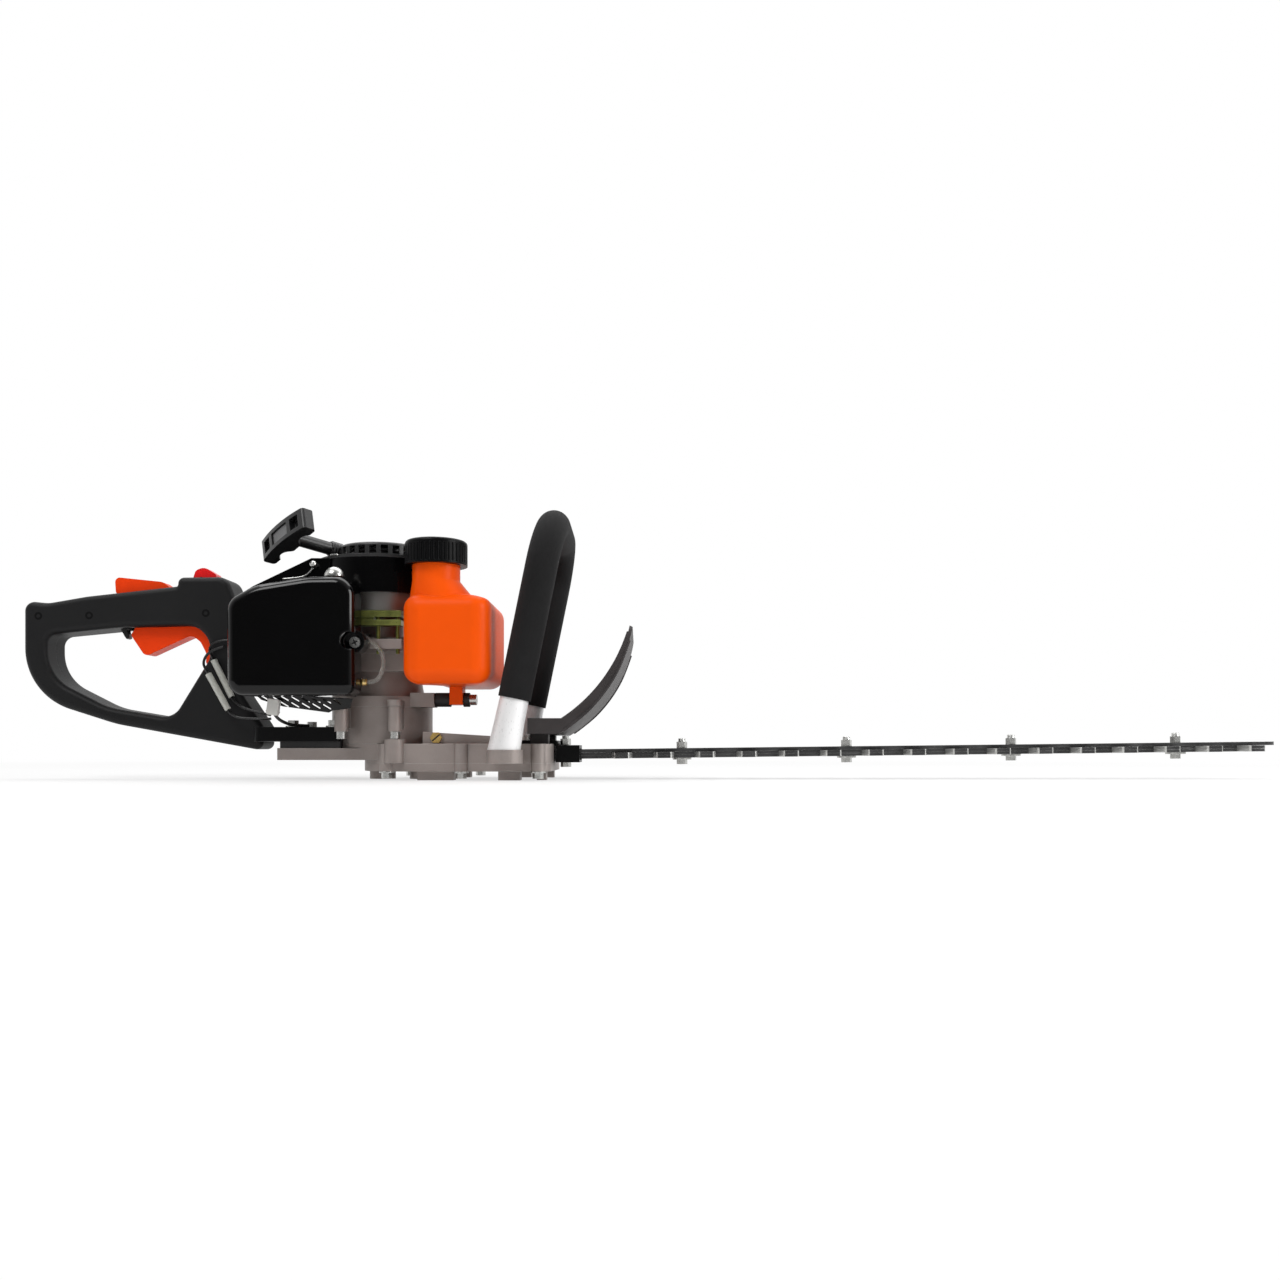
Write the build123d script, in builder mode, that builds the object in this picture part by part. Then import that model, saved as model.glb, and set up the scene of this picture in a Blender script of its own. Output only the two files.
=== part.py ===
from build123d import *
from math import acos, cos, pi, radians, sin, sqrt, tan
import os

# A petrol hedge trimmer as separate pieces, in millimetres. X runs along the blades to
# their tip, Y runs from the machine's right side to its left, Z is up. The crankshaft
# axis is X = 0, Y = 0 and the feet of the gear case stand on Z = 0.

os.makedirs("parts", exist_ok=True)
upright = (Align.CENTER, Align.CENTER, Align.MIN)
corner = (Align.MIN, Align.MIN, Align.MIN)
front_up = (Align.MIN, Align.CENTER, Align.MIN)

# Fits
running_fit = 0.05
free_gap = 0.4
hole_gap = 0.2

# Gear train
gear_module = 1.5
pinion_teeth = 10
gear_teeth = 46
pressure_angle = 25
tooth_share = 0.40
addendum = 0.8 * gear_module
dedendum = 0.95 * gear_module
gear_axis_x = gear_module * (pinion_teeth + gear_teeth) / 2
gear_low_z = 16.5
gear_width = 6
stroke = 17
eccentricity = stroke / 2
shaft_r = 6
eccentric_r = eccentricity + shaft_r + 0.5
rod_thickness = 3.2
rod_length = 58
rod_ring = 4.5
eye_r = 6
eye_bore = 3.2
bearing_r = 14
bearing_width = 8

# Gear case
foot_height = 7.2
cover_floor_z = 11.6
case_split_z = 14
case_low_z = case_split_z
case_top_z = 30
case_roof_z = case_top_z - 2.5
case_wall = 4
case_half_width = 56
case_front_x = 150
case_corner_r = 10
pillar_r = 6
pillar_y = case_half_width - 1
case_bolt_r = 2.5
tail_end_x = -78
tail_half = 42
tail_low_z = 16.5
tail_top_z = 26.5
deck_front_x = 108
deck_half = 45
deck_top_z = 40
plug_x = 55

# Clutch housing and clutch
housing_r = 42.5
housing_wall = 3.5
housing_top_z = 61
column_x = 22
column_y = 52
column_r = 5.6
column_low_z = 40
head_height = 6
drum_low_z = 40.5
drum_top_z = 57.5
drum_r = 30
drum_wall = 2.8

# Crankcase, crank and cylinder
cylinder_axis_z = 106
crank_throw = 14
bore_r = 16
conrod_length = 46
conrod_thickness = 6
web_thickness = 5.5
web_r = 22
crankcase_r = 31
crankcase_half = 34
crankcase_rear_x = -32
crankcase_front_x = 34.5
crankcase_top_z = 119.5
upper_boss_z = 134.6
fin_size = 68
fin_count = 9
fin_thickness = 2
cylinder_end_x = -88
skirt_length = 6

# Flywheel, shroud and starter
flywheel_r = 44
flywheel_low_z = cylinder_axis_z + fin_size / 2 + 1
flywheel_rim = 17
fan_top_z = flywheel_low_z + 37
shroud_r = 54
shroud_wall = 2.5
shroud_low_z = flywheel_low_z + 14
shroud_top_z = flywheel_low_z + 43
shroud_rear_x = -112
shroud_half = 44
starter_r = 37
starter_top_z = shroud_top_z + 15.5
starter_slots = 24
reel_r = 29
rope_r = 1.8

# Blades
blade_rise = 0.64
blade_mid_z = 19.57
blade_thickness = 2.5
blade_gap = 0.1
tooth_pitch = 35.75
tooth_count = 16
first_tooth = 58
tooth_reach = 30
tooth_root_width = 21
tooth_tip_width = 13
blade_half = 12
tail_width = 20
guide_length = 621
guide_half = 13
guide_thickness = 3
bolt_r = 3
bolt_spacing = 4 * tooth_pitch
first_bolt = 110
bolt_count = 4
clamp_bolt = 9
washer_r = 8.2
washer_thickness = 1.6
nut_flat = 8

# Front handle
leg_x = 114.6
leg_y = case_half_width + 14.6
leg_z = 28
leg_lean = 11.5
tube_r = 9.5
tube_wall = 1.6
grip_r = 13.2
grip_low = 39
handle_rise = 188
handle_bend = 40
post_low_r = 13.2
post_top_r = 11.6
ear_top_z = 25

# Hand guard
guard_half = 73
guard_wall = 2.5
guard_back_x = 133
guard_low_z = 38
guard_top_z = 126.5
strap_thickness = 3
top_screw_spots = [(128, -14), (128, 14), (140, -38), (140, 38)]

# Fuel tank
tank_x = (33.5, 104)
tank_y = (-85, 24)
tank_z = (78, 150)
tank_wall = 2.2
tank_round = 12
tank_step_x = 50
neck_x = 57.6
neck_y = -60
neck_r = 19.3
neck_wall = 3
shoulder_r = 28
shoulder_rise = 12
slope_run = 20
slope_drop = 4
slope_round = 6
neck_top_z = 176.5
cap_r = 25.2
cap_top_z = 194.5
cap_low_z = 174.5
cap_ribs = 44
lug_x = (63, 74)
lug_y = (-30, -14)
mount_y = (lug_y[0] + lug_y[1]) / 2
mount_z = 67.4

# Muffler and its cover
cover_near_y = -85
cover_back_y = -58
cover_wall = 2
cover_round = 7.5
muffler_x = (-90, -22)
muffler_y = (-81, -45)
muffler_z = (76, 138)
muffler_wall = 1.5
port_x = -54
port_r = 8

# Rear handle
handle_half = 18
handle_wall = 3.5
handle_round = 5
trigger_half = 7.5
lever_half = 6.5
switch_half = 6
trigger_pivot = (-139, 103)
lever_pivot = (-190, 160)
switch_pivot = (-152, 171)
pin_r = 2

# Rear bracket
bracket_x = (-99, -26)
bracket_half = 43
bracket_low_z = 32
bracket_top_z = 44
tongue_half = 10
bracket_bolt_spots = [(-69.6, -26), (-69.6, 26), (-32.8, -36.3), (-32.8, 36.3)]
bolt_reach = 19


def save(piece, name):
    piece.part.label = name
    export_step(piece.part, f"parts/{name}.step")


def outline(points, radii):
    with BuildSketch() as shape:
        with BuildLine():
            FilletPolyline(*points, radius=radii, close=True)
        make_face()
    return shape.sketch


def case_outline(inset):
    half = case_half_width - inset
    with BuildSketch() as shape:
        with Locations((gear_axis_x, 0)):
            Circle(half)
            Rectangle(case_front_x - inset - gear_axis_x, 2 * half, align=(Align.MIN, Align.CENTER))
        fillet(shape.vertices().sort_by(Axis.X)[-2:], case_corner_r - inset)
    return shape.sketch


def gear_outline(teeth, turn):
    pitch_r = gear_module * teeth / 2
    base_r = pitch_r * cos(radians(pressure_angle))
    root_r = pitch_r - dedendum
    start_r = max(base_r, root_r)
    lead = tan(radians(pressure_angle)) - radians(pressure_angle)
    flank = []
    for step in range(5):
        r = start_r + (pitch_r + addendum - start_r) * step / 4
        roll = acos(min(1, base_r / r))
        flank.append((r, tooth_share * pi / teeth + lead - tan(roll) + roll))
    if root_r < base_r:
        flank.insert(0, (root_r, flank[0][1]))
    points = []
    for tooth in range(teeth):
        middle = radians(turn) + 2 * pi * tooth / teeth
        points += [(r * cos(middle - half), r * sin(middle - half)) for r, half in flank]
        points += [(r * cos(middle + half), r * sin(middle + half)) for r, half in flank[::-1]]
    with BuildSketch() as shape:
        with BuildLine():
            Polyline(*points, close=True)
        make_face()
    return shape.sketch


case_face = case_outline(0)
case_inner = case_outline(case_wall)
pillar_spots = []
for pillar_x in (14.5, 77, 140):
    reach = min(0, pillar_x - gear_axis_x)
    side = sqrt(case_half_width**2 - reach**2) - case_half_width + pillar_y
    pillar_spots += [(pillar_x, side), (pillar_x, -side)]
column_spots = [(x, y) for x in (-column_x, column_x) for y in (-column_y, column_y)]

# Gear case cover with its feet
with BuildPart() as gear_case_cover:
    with BuildSketch(Plane.XY.offset(foot_height)):
        add(case_face)
        with Locations(*pillar_spots):
            Circle(pillar_r)
    extrude(amount=case_split_z - foot_height)
    with BuildSketch(Plane.XY):
        Circle(11)
        with Locations((gear_axis_x, 0)):
            Circle(bearing_r + 4.3)
        for side in (-1, 1):
            with Locations((55, side * 44)):
                Rectangle(30, 12)
            with Locations((116, side * 46)):
                Rectangle(18, 14)
            with Locations((142, side * 40)):
                Rectangle(8, 10)
    extrude(amount=foot_height)
    with BuildSketch(Plane.XY.offset(cover_floor_z)):
        add(case_inner)
    extrude(amount=case_split_z - cover_floor_z, mode=Mode.SUBTRACT)
    with Locations((gear_axis_x, 0, cover_floor_z - bearing_width)):
        Cylinder(bearing_r, bearing_width, align=upright, mode=Mode.SUBTRACT)
    with Locations((0, 0, 3)):
        Cylinder(shaft_r + running_fit, cover_floor_z, align=upright, mode=Mode.SUBTRACT)
    with Locations(*[(x, y, 0) for x, y in pillar_spots]):
        Cylinder(case_bolt_r + hole_gap, case_split_z, align=upright, mode=Mode.SUBTRACT)
save(gear_case_cover, "gear_case_cover")

# Directions and planes shared by the front handle and the blades
lean = radians(leg_lean)
lean_up = (sin(lean), 0, cos(lean))
handle_plane = Plane(origin=(leg_x, 0, leg_z), x_dir=(0, 1, 0), z_dir=(cos(lean), 0, -sin(lean)))
leg_planes = [Plane(origin=(leg_x, y, leg_z), z_dir=lean_up) for y in (-leg_y, leg_y)]
rise = radians(blade_rise)
blade_plane = Plane(
    origin=(case_front_x, 0, blade_mid_z), x_dir=(cos(rise), 0, sin(rise)), z_dir=(-sin(rise), 0, cos(rise))
)

# Gear case with the clutch housing seat, tail plate, deck and handle ears
with BuildPart() as gear_case:
    with BuildSketch(Plane.XY.offset(case_low_z)):
        add(case_face)
        with Locations(*pillar_spots):
            Circle(pillar_r)
    extrude(amount=case_top_z - case_low_z)
    with Locations((0, 0, tail_low_z)):
        Cylinder(housing_r, case_top_z - tail_low_z, align=upright)
    with Locations((tail_end_x, -tail_half, tail_low_z)):
        Box(10 - tail_end_x, 2 * tail_half, tail_top_z - tail_low_z, align=corner)
    for side in (-1, 1):
        with Locations((column_x, side * column_y, case_low_z)):
            Cylinder(8.5, column_low_z - head_height - free_gap - case_low_z, align=upright)
        with Locations((leg_x, side * leg_y, case_low_z)):
            Cylinder(post_low_r + 1.5, ear_top_z - case_low_z, align=upright)
        with Locations((leg_x, side * (case_half_width + leg_y) / 2, case_low_z)):
            Box(22, leg_y - case_half_width + 8, ear_top_z - case_low_z, align=upright)
    with BuildSketch(Plane.XZ):
        with BuildLine():
            Polyline(
                (housing_r + 1, case_top_z - 1),
                (housing_r + 1, deck_top_z),
                (deck_front_x, deck_top_z - 4),
                (deck_front_x + 4, case_top_z - 1),
                close=True,
            )
        make_face()
    extrude(amount=deck_half, both=True)
    with BuildSketch(Plane.XY.offset(case_low_z)):
        add(case_inner)
    extrude(amount=case_roof_z - case_low_z, mode=Mode.SUBTRACT)
    Cylinder(shaft_r + 1, case_top_z, align=upright, mode=Mode.SUBTRACT)
    with Locations((gear_axis_x, 0, 0)):
        Cylinder(shaft_r + running_fit, case_top_z, align=upright, mode=Mode.SUBTRACT)
    with Locations((case_front_x - 2 * case_wall, 0, 15.6)):
        Box(3 * case_wall, 2 * guide_half + 4, 8, align=front_up, mode=Mode.SUBTRACT)
    with Locations(*[(x, y, 0) for x, y in pillar_spots]):
        Cylinder(case_bolt_r + hole_gap, 27, align=upright, mode=Mode.SUBTRACT)
    with Locations(*leg_planes):
        Cylinder(tube_r + hole_gap, 24, mode=Mode.SUBTRACT)
    with Locations(*[(x, y, tail_top_z) for x, y in bracket_bolt_spots]):
        Cylinder(case_bolt_r + hole_gap, 5, mode=Mode.SUBTRACT)
    with Locations((plug_x, -deck_half, (case_top_z + deck_top_z) / 2)):
        Cylinder(4 + hole_gap, 20, rotation=(90, 0, 0), mode=Mode.SUBTRACT)
    for side in (-1, 1):
        with Locations((128, side * 14, case_roof_z), (140, side * 38, case_roof_z)):
            Cylinder(2.5 + hole_gap, 10, align=upright, mode=Mode.SUBTRACT)
save(gear_case, "gear_case")

# Grease plug in the near wall of the deck
with BuildPart() as grease_plug:
    with Locations((plug_x, -deck_half, (case_top_z + deck_top_z) / 2)):
        Cylinder(4, 9, rotation=(90, 0, 0), align=(Align.CENTER, Align.CENTER, Align.MAX))
    with BuildSketch(Plane.XZ.offset(deck_half)):
        with Locations((plug_x, (case_top_z + deck_top_z) / 2)):
            RegularPolygon(5, 6)
    extrude(amount=3)
save(grease_plug, "grease_plug")

# Drive gear with its two eccentrics and journals
gear_top_z = gear_low_z + gear_width
with BuildPart() as drive_gear:
    with BuildSketch(Plane.XY.offset(gear_low_z)):
        with Locations((gear_axis_x, 0)):
            add(gear_outline(gear_teeth, 180 / gear_teeth))
        for turn in range(6):
            with Locations((gear_axis_x + 26 * cos(turn * pi / 3), 26 * sin(turn * pi / 3))):
                Circle(5, mode=Mode.SUBTRACT)
    extrude(amount=gear_width)
    with Locations((gear_axis_x, eccentricity, gear_top_z)):
        Cylinder(eccentric_r, case_roof_z - free_gap - gear_top_z, align=upright)
    with Locations((gear_axis_x, -eccentricity, cover_floor_z + free_gap)):
        Cylinder(eccentric_r, gear_low_z - cover_floor_z - free_gap, align=upright)
    with Locations((gear_axis_x, 0, cover_floor_z - bearing_width)):
        Cylinder(shaft_r, case_top_z - free_gap - cover_floor_z + bearing_width, align=upright)
save(drive_gear, "drive_gear")

# Rods from the eccentrics to the blade tails
rod_run = sqrt(rod_length**2 - eccentricity**2)
upper_rod_z = case_roof_z - 2 * free_gap - rod_thickness
lower_rod_z = cover_floor_z + 2 * free_gap
for rod_name, rod_z, offset_y in (
    ("upper_rod", upper_rod_z, eccentricity),
    ("lower_rod", lower_rod_z, -eccentricity),
):
    with BuildPart() as rod:
        with BuildSketch(Plane.XY.offset(rod_z)):
            with BuildLine():
                Polyline(
                    (gear_axis_x, offset_y - 8),
                    (gear_axis_x + rod_run, -4.5),
                    (gear_axis_x + rod_run, 4.5),
                    (gear_axis_x, offset_y + 8),
                    close=True,
                )
            make_face()
            with Locations((gear_axis_x, offset_y)):
                Circle(eccentric_r + rod_ring)
                Circle(eccentric_r + running_fit, mode=Mode.SUBTRACT)
            with Locations((gear_axis_x + rod_run, 0)):
                Circle(eye_r)
                Circle(eye_bore, mode=Mode.SUBTRACT)
        extrude(amount=rod_thickness)
    save(rod, rod_name)

# Clutch drum with the pinion on its shaft
with BuildPart() as clutch_drum:
    with Locations((0, 0, drum_low_z)):
        Cylinder(drum_r, drum_top_z - drum_low_z, align=upright)
    with Locations((0, 0, drum_low_z + 2.2)):
        Cylinder(drum_r - drum_wall, drum_top_z, align=upright, mode=Mode.SUBTRACT)
    with Locations((0, 0, 3 + free_gap)):
        Cylinder(shaft_r, drum_low_z - 3 - free_gap, align=upright)
    with BuildSketch(Plane.XY.offset(gear_low_z - 0.5)):
        add(gear_outline(pinion_teeth, 0))
    extrude(amount=gear_width + 1)
save(clutch_drum, "clutch_drum")

# Clutch housing with four bolt columns
with BuildPart() as clutch_housing:
    with Locations((0, 0, case_top_z)):
        Cylinder(housing_r, housing_top_z - case_top_z, align=upright)
    for x, y in column_spots:
        with Locations((x, y, column_low_z)):
            Cylinder(column_r, housing_top_z - column_low_z, align=upright)
        with Locations((x, y * 0.8, column_low_z + 3)):
            Box(7, column_y * 0.4, housing_top_z - column_low_z - 3, align=upright)
    with Locations((0, 0, case_top_z + 3)):
        Cylinder(housing_r - housing_wall, housing_top_z, align=upright, mode=Mode.SUBTRACT)
    with Locations((0, 0, case_top_z + 1)):
        Cylinder(bearing_r + 3.5, bearing_width + 1, align=upright)
    with Locations((0, 0, case_top_z + 2)):
        Cylinder(bearing_r, 2 * bearing_width, align=upright, mode=Mode.SUBTRACT)
    Cylinder(shaft_r + 1.5, housing_top_z, align=upright, mode=Mode.SUBTRACT)
    with Locations(*[(x, y, 0) for x, y in column_spots]):
        Cylinder(2.5 + hole_gap, 2 * housing_top_z, align=upright, mode=Mode.SUBTRACT)
save(clutch_housing, "clutch_housing")

# Crankcase, lower half
mouth_r = bore_r + 2
flange_top_z = housing_top_z + 9
block_face = outline(
    (
        (crankcase_rear_x, -crankcase_half),
        (crankcase_front_x, -crankcase_half),
        (crankcase_front_x, crankcase_half),
        (crankcase_rear_x, crankcase_half),
    ),
    (4, 12, 12, 4),
)
web_low_z = cylinder_axis_z - conrod_thickness / 2 - 2 * free_gap - web_thickness
web_top_z = 2 * cylinder_axis_z - web_low_z
lower_seat_z = housing_top_z + 5
with BuildPart() as crankcase_lower:
    with Locations((0, 0, housing_top_z)):
        Cylinder(housing_r, flange_top_z - housing_top_z, align=upright)
    for x, y in column_spots:
        with Locations((x, y, housing_top_z)):
            Cylinder(column_r + 0.6, 5, align=upright)
        with Locations((x, y * 0.8, housing_top_z)):
            Box(8, column_y * 0.4, 5, align=upright)
    with Locations((0, 0, flange_top_z)):
        Cone(36, 32, 21, align=upright)
    with Locations((crankcase_rear_x, 0, flange_top_z)):
        Box(20, 100, 40, align=(Align.MAX, Align.CENTER, Align.MIN), mode=Mode.SUBTRACT)
    with BuildSketch(Plane.XY.offset(flange_top_z + 21)):
        add(block_face)
    extrude(amount=cylinder_axis_z - flange_top_z - 21)
    with Locations((30, mount_y, housing_top_z)):
        Box(lug_x[0] - 43, 16, 12, align=front_up)
    with Locations((lug_x[0], mount_y, mount_z)):
        Cylinder(2.5 + hole_gap, 60, rotation=(0, 90, 0), mode=Mode.SUBTRACT)
    with Locations((0, 0, lower_seat_z)):
        Cylinder(bearing_r, 40, align=upright, mode=Mode.SUBTRACT)
    Cylinder(shaft_r + 2, 100, align=upright, mode=Mode.SUBTRACT)
    with Locations((0, 0, web_low_z - 2 * free_gap)):
        Cylinder(crankcase_r, 40, align=upright, mode=Mode.SUBTRACT)
    with Locations((crankcase_rear_x, 0, cylinder_axis_z)):
        Box(50, 2 * mouth_r, 2 * mouth_r, mode=Mode.SUBTRACT)
    with Locations(*[(x, y, 0) for x, y in column_spots]):
        Cylinder(2.5 + hole_gap, 2 * housing_top_z, align=upright, mode=Mode.SUBTRACT)
save(crankcase_lower, "crankcase_lower")

# Socket screws through the four columns
with BuildPart() as clutch_housing_bolts:
    for x, y in column_spots:
        with Locations((x, y, column_low_z - head_height)):
            Cylinder(4.2, head_height, align=upright)
            Cylinder(2.5, housing_top_z + 4 - column_low_z + head_height, align=upright)
    with Locations(*[(x, y, column_low_z - head_height) for x, y in column_spots]):
        Cylinder(2.1, 3, align=upright, mode=Mode.SUBTRACT)
save(clutch_housing_bolts, "clutch_housing_bolts")

# Crankcase, upper half, with the coil lug
upper_seat_z = upper_boss_z - bearing_width - 0.6
with BuildPart() as crankcase_upper:
    with BuildSketch(Plane.XY.offset(cylinder_axis_z)):
        add(block_face)
    extrude(amount=crankcase_top_z - cylinder_axis_z)
    with Locations((0, 0, cylinder_axis_z + 5)):
        Cylinder(bearing_r + 5, upper_boss_z - cylinder_axis_z - 5, align=upright)
    with Locations((2, -54, 108)):
        Box(26, 24, 8, align=corner)
    with Locations((0, 0, upper_seat_z)):
        Cylinder(bearing_r, 40, align=upright, mode=Mode.SUBTRACT)
    Cylinder(shaft_r + 2, 200, align=upright, mode=Mode.SUBTRACT)
    Cylinder(crankcase_r, web_top_z + 2 * free_gap, align=upright, mode=Mode.SUBTRACT)
    with Locations((crankcase_rear_x, 0, cylinder_axis_z)):
        Box(50, 2 * mouth_r, 2 * mouth_r, mode=Mode.SUBTRACT)
    with Locations((8, -50, 100), (24, -50, 100)):
        Cylinder(1.6 + hole_gap, 30, align=upright, mode=Mode.SUBTRACT)
save(crankcase_upper, "crankcase_upper")

# Ball bearings of the gear, the pinion and the crank, all one size
bearing_spots = [
    (gear_axis_x, 0, cover_floor_z - bearing_width),
    (0, 0, case_top_z + 2),
    (0, 0, lower_seat_z),
    (0, 0, upper_seat_z),
]
with BuildPart() as ball_bearings:
    with Locations(*bearing_spots):
        Cylinder(bearing_r, bearing_width, align=upright)
    with Locations(*bearing_spots):
        Cylinder(shaft_r + running_fit, bearing_width, align=upright, mode=Mode.SUBTRACT)
    groove_spots = [(x, y, z + end) for x, y, z in bearing_spots for end in (0, bearing_width - 0.8)]
    with BuildPart(mode=Mode.PRIVATE) as shield:
        Cylinder(bearing_r - 2.5, 0.8, align=upright)
        Cylinder(shaft_r + 2.5, 0.8, align=upright, mode=Mode.SUBTRACT)
    with Locations(*groove_spots):
        add(shield.part, mode=Mode.SUBTRACT)
save(ball_bearings, "ball_bearings")

# Crankshaft in two halves with short crank pin stubs
crank_end_z = drum_low_z + 2.2 + 2 * free_gap
crank_top_z = 186
stub = free_gap
with BuildPart() as crankshaft:
    with Locations((0, 0, crank_end_z)):
        Cylinder(shaft_r, web_low_z - crank_end_z, align=upright)
    with Locations((0, 0, web_top_z)):
        Cylinder(shaft_r, crank_top_z - web_top_z, align=upright)
    for web_z in (web_low_z, web_top_z - web_thickness):
        with BuildSketch(Plane.XY.offset(web_z)):
            Circle(web_r)
            with Locations((-web_r, 15), (-web_r, -15)):
                Circle(12, mode=Mode.SUBTRACT)
        extrude(amount=web_thickness)
    with Locations(
        (-crank_throw, 0, web_low_z + web_thickness), (-crank_throw, 0, web_top_z - web_thickness - stub)
    ):
        Cylinder(5, stub, align=upright)
save(crankshaft, "crankshaft")

# Connecting rod between the piston pin and the crank pin
pin_x = -crank_throw - conrod_length
with BuildPart() as connecting_rod:
    with BuildSketch(Plane.XY.offset(cylinder_axis_z - conrod_thickness / 2)):
        with Locations(((pin_x - crank_throw) / 2, 0)):
            Rectangle(conrod_length, 8)
        with Locations((-crank_throw, 0)):
            Circle(9)
        with Locations((pin_x, 0)):
            Circle(6.5)
        with Locations((-crank_throw, 0)):
            Circle(5.5, mode=Mode.SUBTRACT)
        with Locations((pin_x, 0)):
            Circle(4 + running_fit, mode=Mode.SUBTRACT)
    extrude(amount=conrod_thickness)
    for face_z in (cylinder_axis_z - conrod_thickness / 2, cylinder_axis_z + conrod_thickness / 2 - 1.5):
        with Locations(((pin_x - crank_throw) / 2 - 1, 0, face_z)):
            Box(conrod_length - 20, 4, 1.5, align=upright, mode=Mode.SUBTRACT)
save(connecting_rod, "connecting_rod")

# Piston with its pin
crown_x = pin_x - 13
piston_r = bore_r - running_fit
with BuildPart() as piston:
    with Locations((crown_x, 0, cylinder_axis_z)):
        Cylinder(piston_r, 25, rotation=(0, 90, 0), align=upright)
    with Locations((crown_x + 4, 0, cylinder_axis_z)):
        Cylinder(piston_r - 2.6, 25, rotation=(0, 90, 0), align=upright, mode=Mode.SUBTRACT)
    with Locations((pin_x, 0, cylinder_axis_z)):
        Cylinder(4, 2 * piston_r - 2)
    for ring_x in (crown_x + 2.5, crown_x + 6):
        with Locations((ring_x, 0, cylinder_axis_z)):
            Torus(piston_r, 0.5, rotation=(0, 90, 0), mode=Mode.SUBTRACT)
save(piston, "piston")

# Cylinder with square fins
with BuildPart() as cylinder:
    with Locations((crankcase_rear_x + skirt_length, 0, cylinder_axis_z)):
        Cylinder(
            bore_r + 1.8, crankcase_rear_x + skirt_length - cylinder_end_x, rotation=(0, 90, 0),
            align=(Align.CENTER, Align.CENTER, Align.MAX),
        )
    with Locations((crankcase_rear_x, 0, cylinder_axis_z)):
        Box(5, 52, 52, align=(Align.MAX, Align.CENTER, Align.CENTER))
        Cylinder(
            bore_r + 5, crankcase_rear_x - cylinder_end_x, rotation=(0, 90, 0),
            align=(Align.CENTER, Align.CENTER, Align.MAX),
        )
    fin_pitch = (crankcase_rear_x - 8 - cylinder_end_x - fin_thickness) / (fin_count - 1)
    for fin in range(fin_count):
        with Locations((cylinder_end_x + fin * fin_pitch, 0, cylinder_axis_z)):
            Box(fin_thickness, fin_size - 4, fin_size, align=(Align.MIN, Align.CENTER, Align.CENTER))
    with Locations((port_x, 0, cylinder_axis_z)):
        Box(30, fin_size - 2, 28)
    with Locations((cylinder_end_x + 9, 0, cylinder_axis_z)):
        Cylinder(9, fin_size / 2, align=upright)
    with Locations((crown_x - 2, 0, cylinder_axis_z)):
        Cylinder(bore_r, 100, rotation=(0, 90, 0), align=upright, mode=Mode.SUBTRACT)
    with Locations((port_x, 0, cylinder_axis_z)):
        Cylinder(port_r, 2 * fin_size, rotation=(90, 0, 0), mode=Mode.SUBTRACT)
    with Locations((cylinder_end_x + 9, 0, cylinder_axis_z + 6)):
        Cylinder(5 + hole_gap, fin_size, align=upright, mode=Mode.SUBTRACT)
save(cylinder, "cylinder")

# Spark plug and its cap
plug_seat_z = cylinder_axis_z + fin_size / 2
with BuildPart() as spark_plug:
    with Locations((cylinder_end_x + 9, 0, plug_seat_z - 20)):
        Cylinder(5, 20, align=upright)
    with BuildSketch(Plane.XY.offset(plug_seat_z)):
        with Locations((cylinder_end_x + 9, 0)):
            RegularPolygon(8, 6)
    extrude(amount=6)
    with Locations((cylinder_end_x + 9, 0, plug_seat_z + 6)):
        Cone(4.5, 3, 12, align=upright)
save(spark_plug, "spark_plug")
with BuildPart() as spark_plug_cap:
    with Locations((cylinder_end_x + 9, 0, plug_seat_z + 7)):
        Cylinder(6.5, 16, align=upright)
    with Locations((cylinder_end_x + 9, 0, plug_seat_z + 19)):
        Cylinder(3.5, 16, rotation=(0, 90, 0), align=upright)
    with Locations((cylinder_end_x + 9, 0, plug_seat_z + 6)):
        Cone(4.7, 3.2, 12.4, align=upright, mode=Mode.SUBTRACT)
save(spark_plug_cap, "spark_plug_cap")

# Clutch hub with two shoes on the lower end of the crank
with BuildPart() as clutch_shoes:
    with BuildSketch(Plane.XY.offset(drum_low_z + 4)):
        Circle(drum_r - drum_wall - 0.7)
        Circle(12, mode=Mode.SUBTRACT)
        Rectangle(5, 2 * drum_r, mode=Mode.SUBTRACT)
    extrude(amount=11)
    with Locations((0, 0, drum_low_z + 4)):
        Cylinder(11.6, 11, align=upright)
    with BuildSketch(Plane.XY.offset(drum_low_z + 15)):
        Circle(20)
    extrude(amount=1.5)
    Cylinder(shaft_r, 100, align=upright, mode=Mode.SUBTRACT)
save(clutch_shoes, "clutch_shoes")

# Flywheel with fan blades
fan_count = 14
with BuildPart() as flywheel:
    with Locations((0, 0, flywheel_low_z)):
        Cylinder(flywheel_r, flywheel_rim, align=upright)
    with Locations((0, 0, flywheel_low_z)):
        Cylinder(flywheel_r - 5, flywheel_rim - 4, align=upright, mode=Mode.SUBTRACT)
    with Locations((0, 0, flywheel_low_z - 4)):
        Cylinder(13, fan_top_z - flywheel_low_z + 4, align=upright)
    with PolarLocations(30, fan_count):
        with Locations((0, 0, flywheel_low_z + flywheel_rim)):
            Box(30, 2, fan_top_z - flywheel_low_z - flywheel_rim, rotation=(0, 0, 25), align=upright)
    Cylinder(shaft_r, 200, align=upright, mode=Mode.SUBTRACT)
save(flywheel, "flywheel")

# Ignition coil on two posts
with BuildPart() as ignition_coil:
    with Locations((-10, -56, 134)):
        Box(38, 11, 5, align=corner)
    with Locations((-6, -56, 127)):
        Box(34, 11, 4.5, align=corner)
    with Locations((-6, -54, 131.5)):
        Box(11, 8, 2.5, align=corner)
    with Locations((8, -50, 104), (24, -50, 104)):
        Cylinder(1.6, 30, align=upright)
save(ignition_coil, "ignition_coil")

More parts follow.
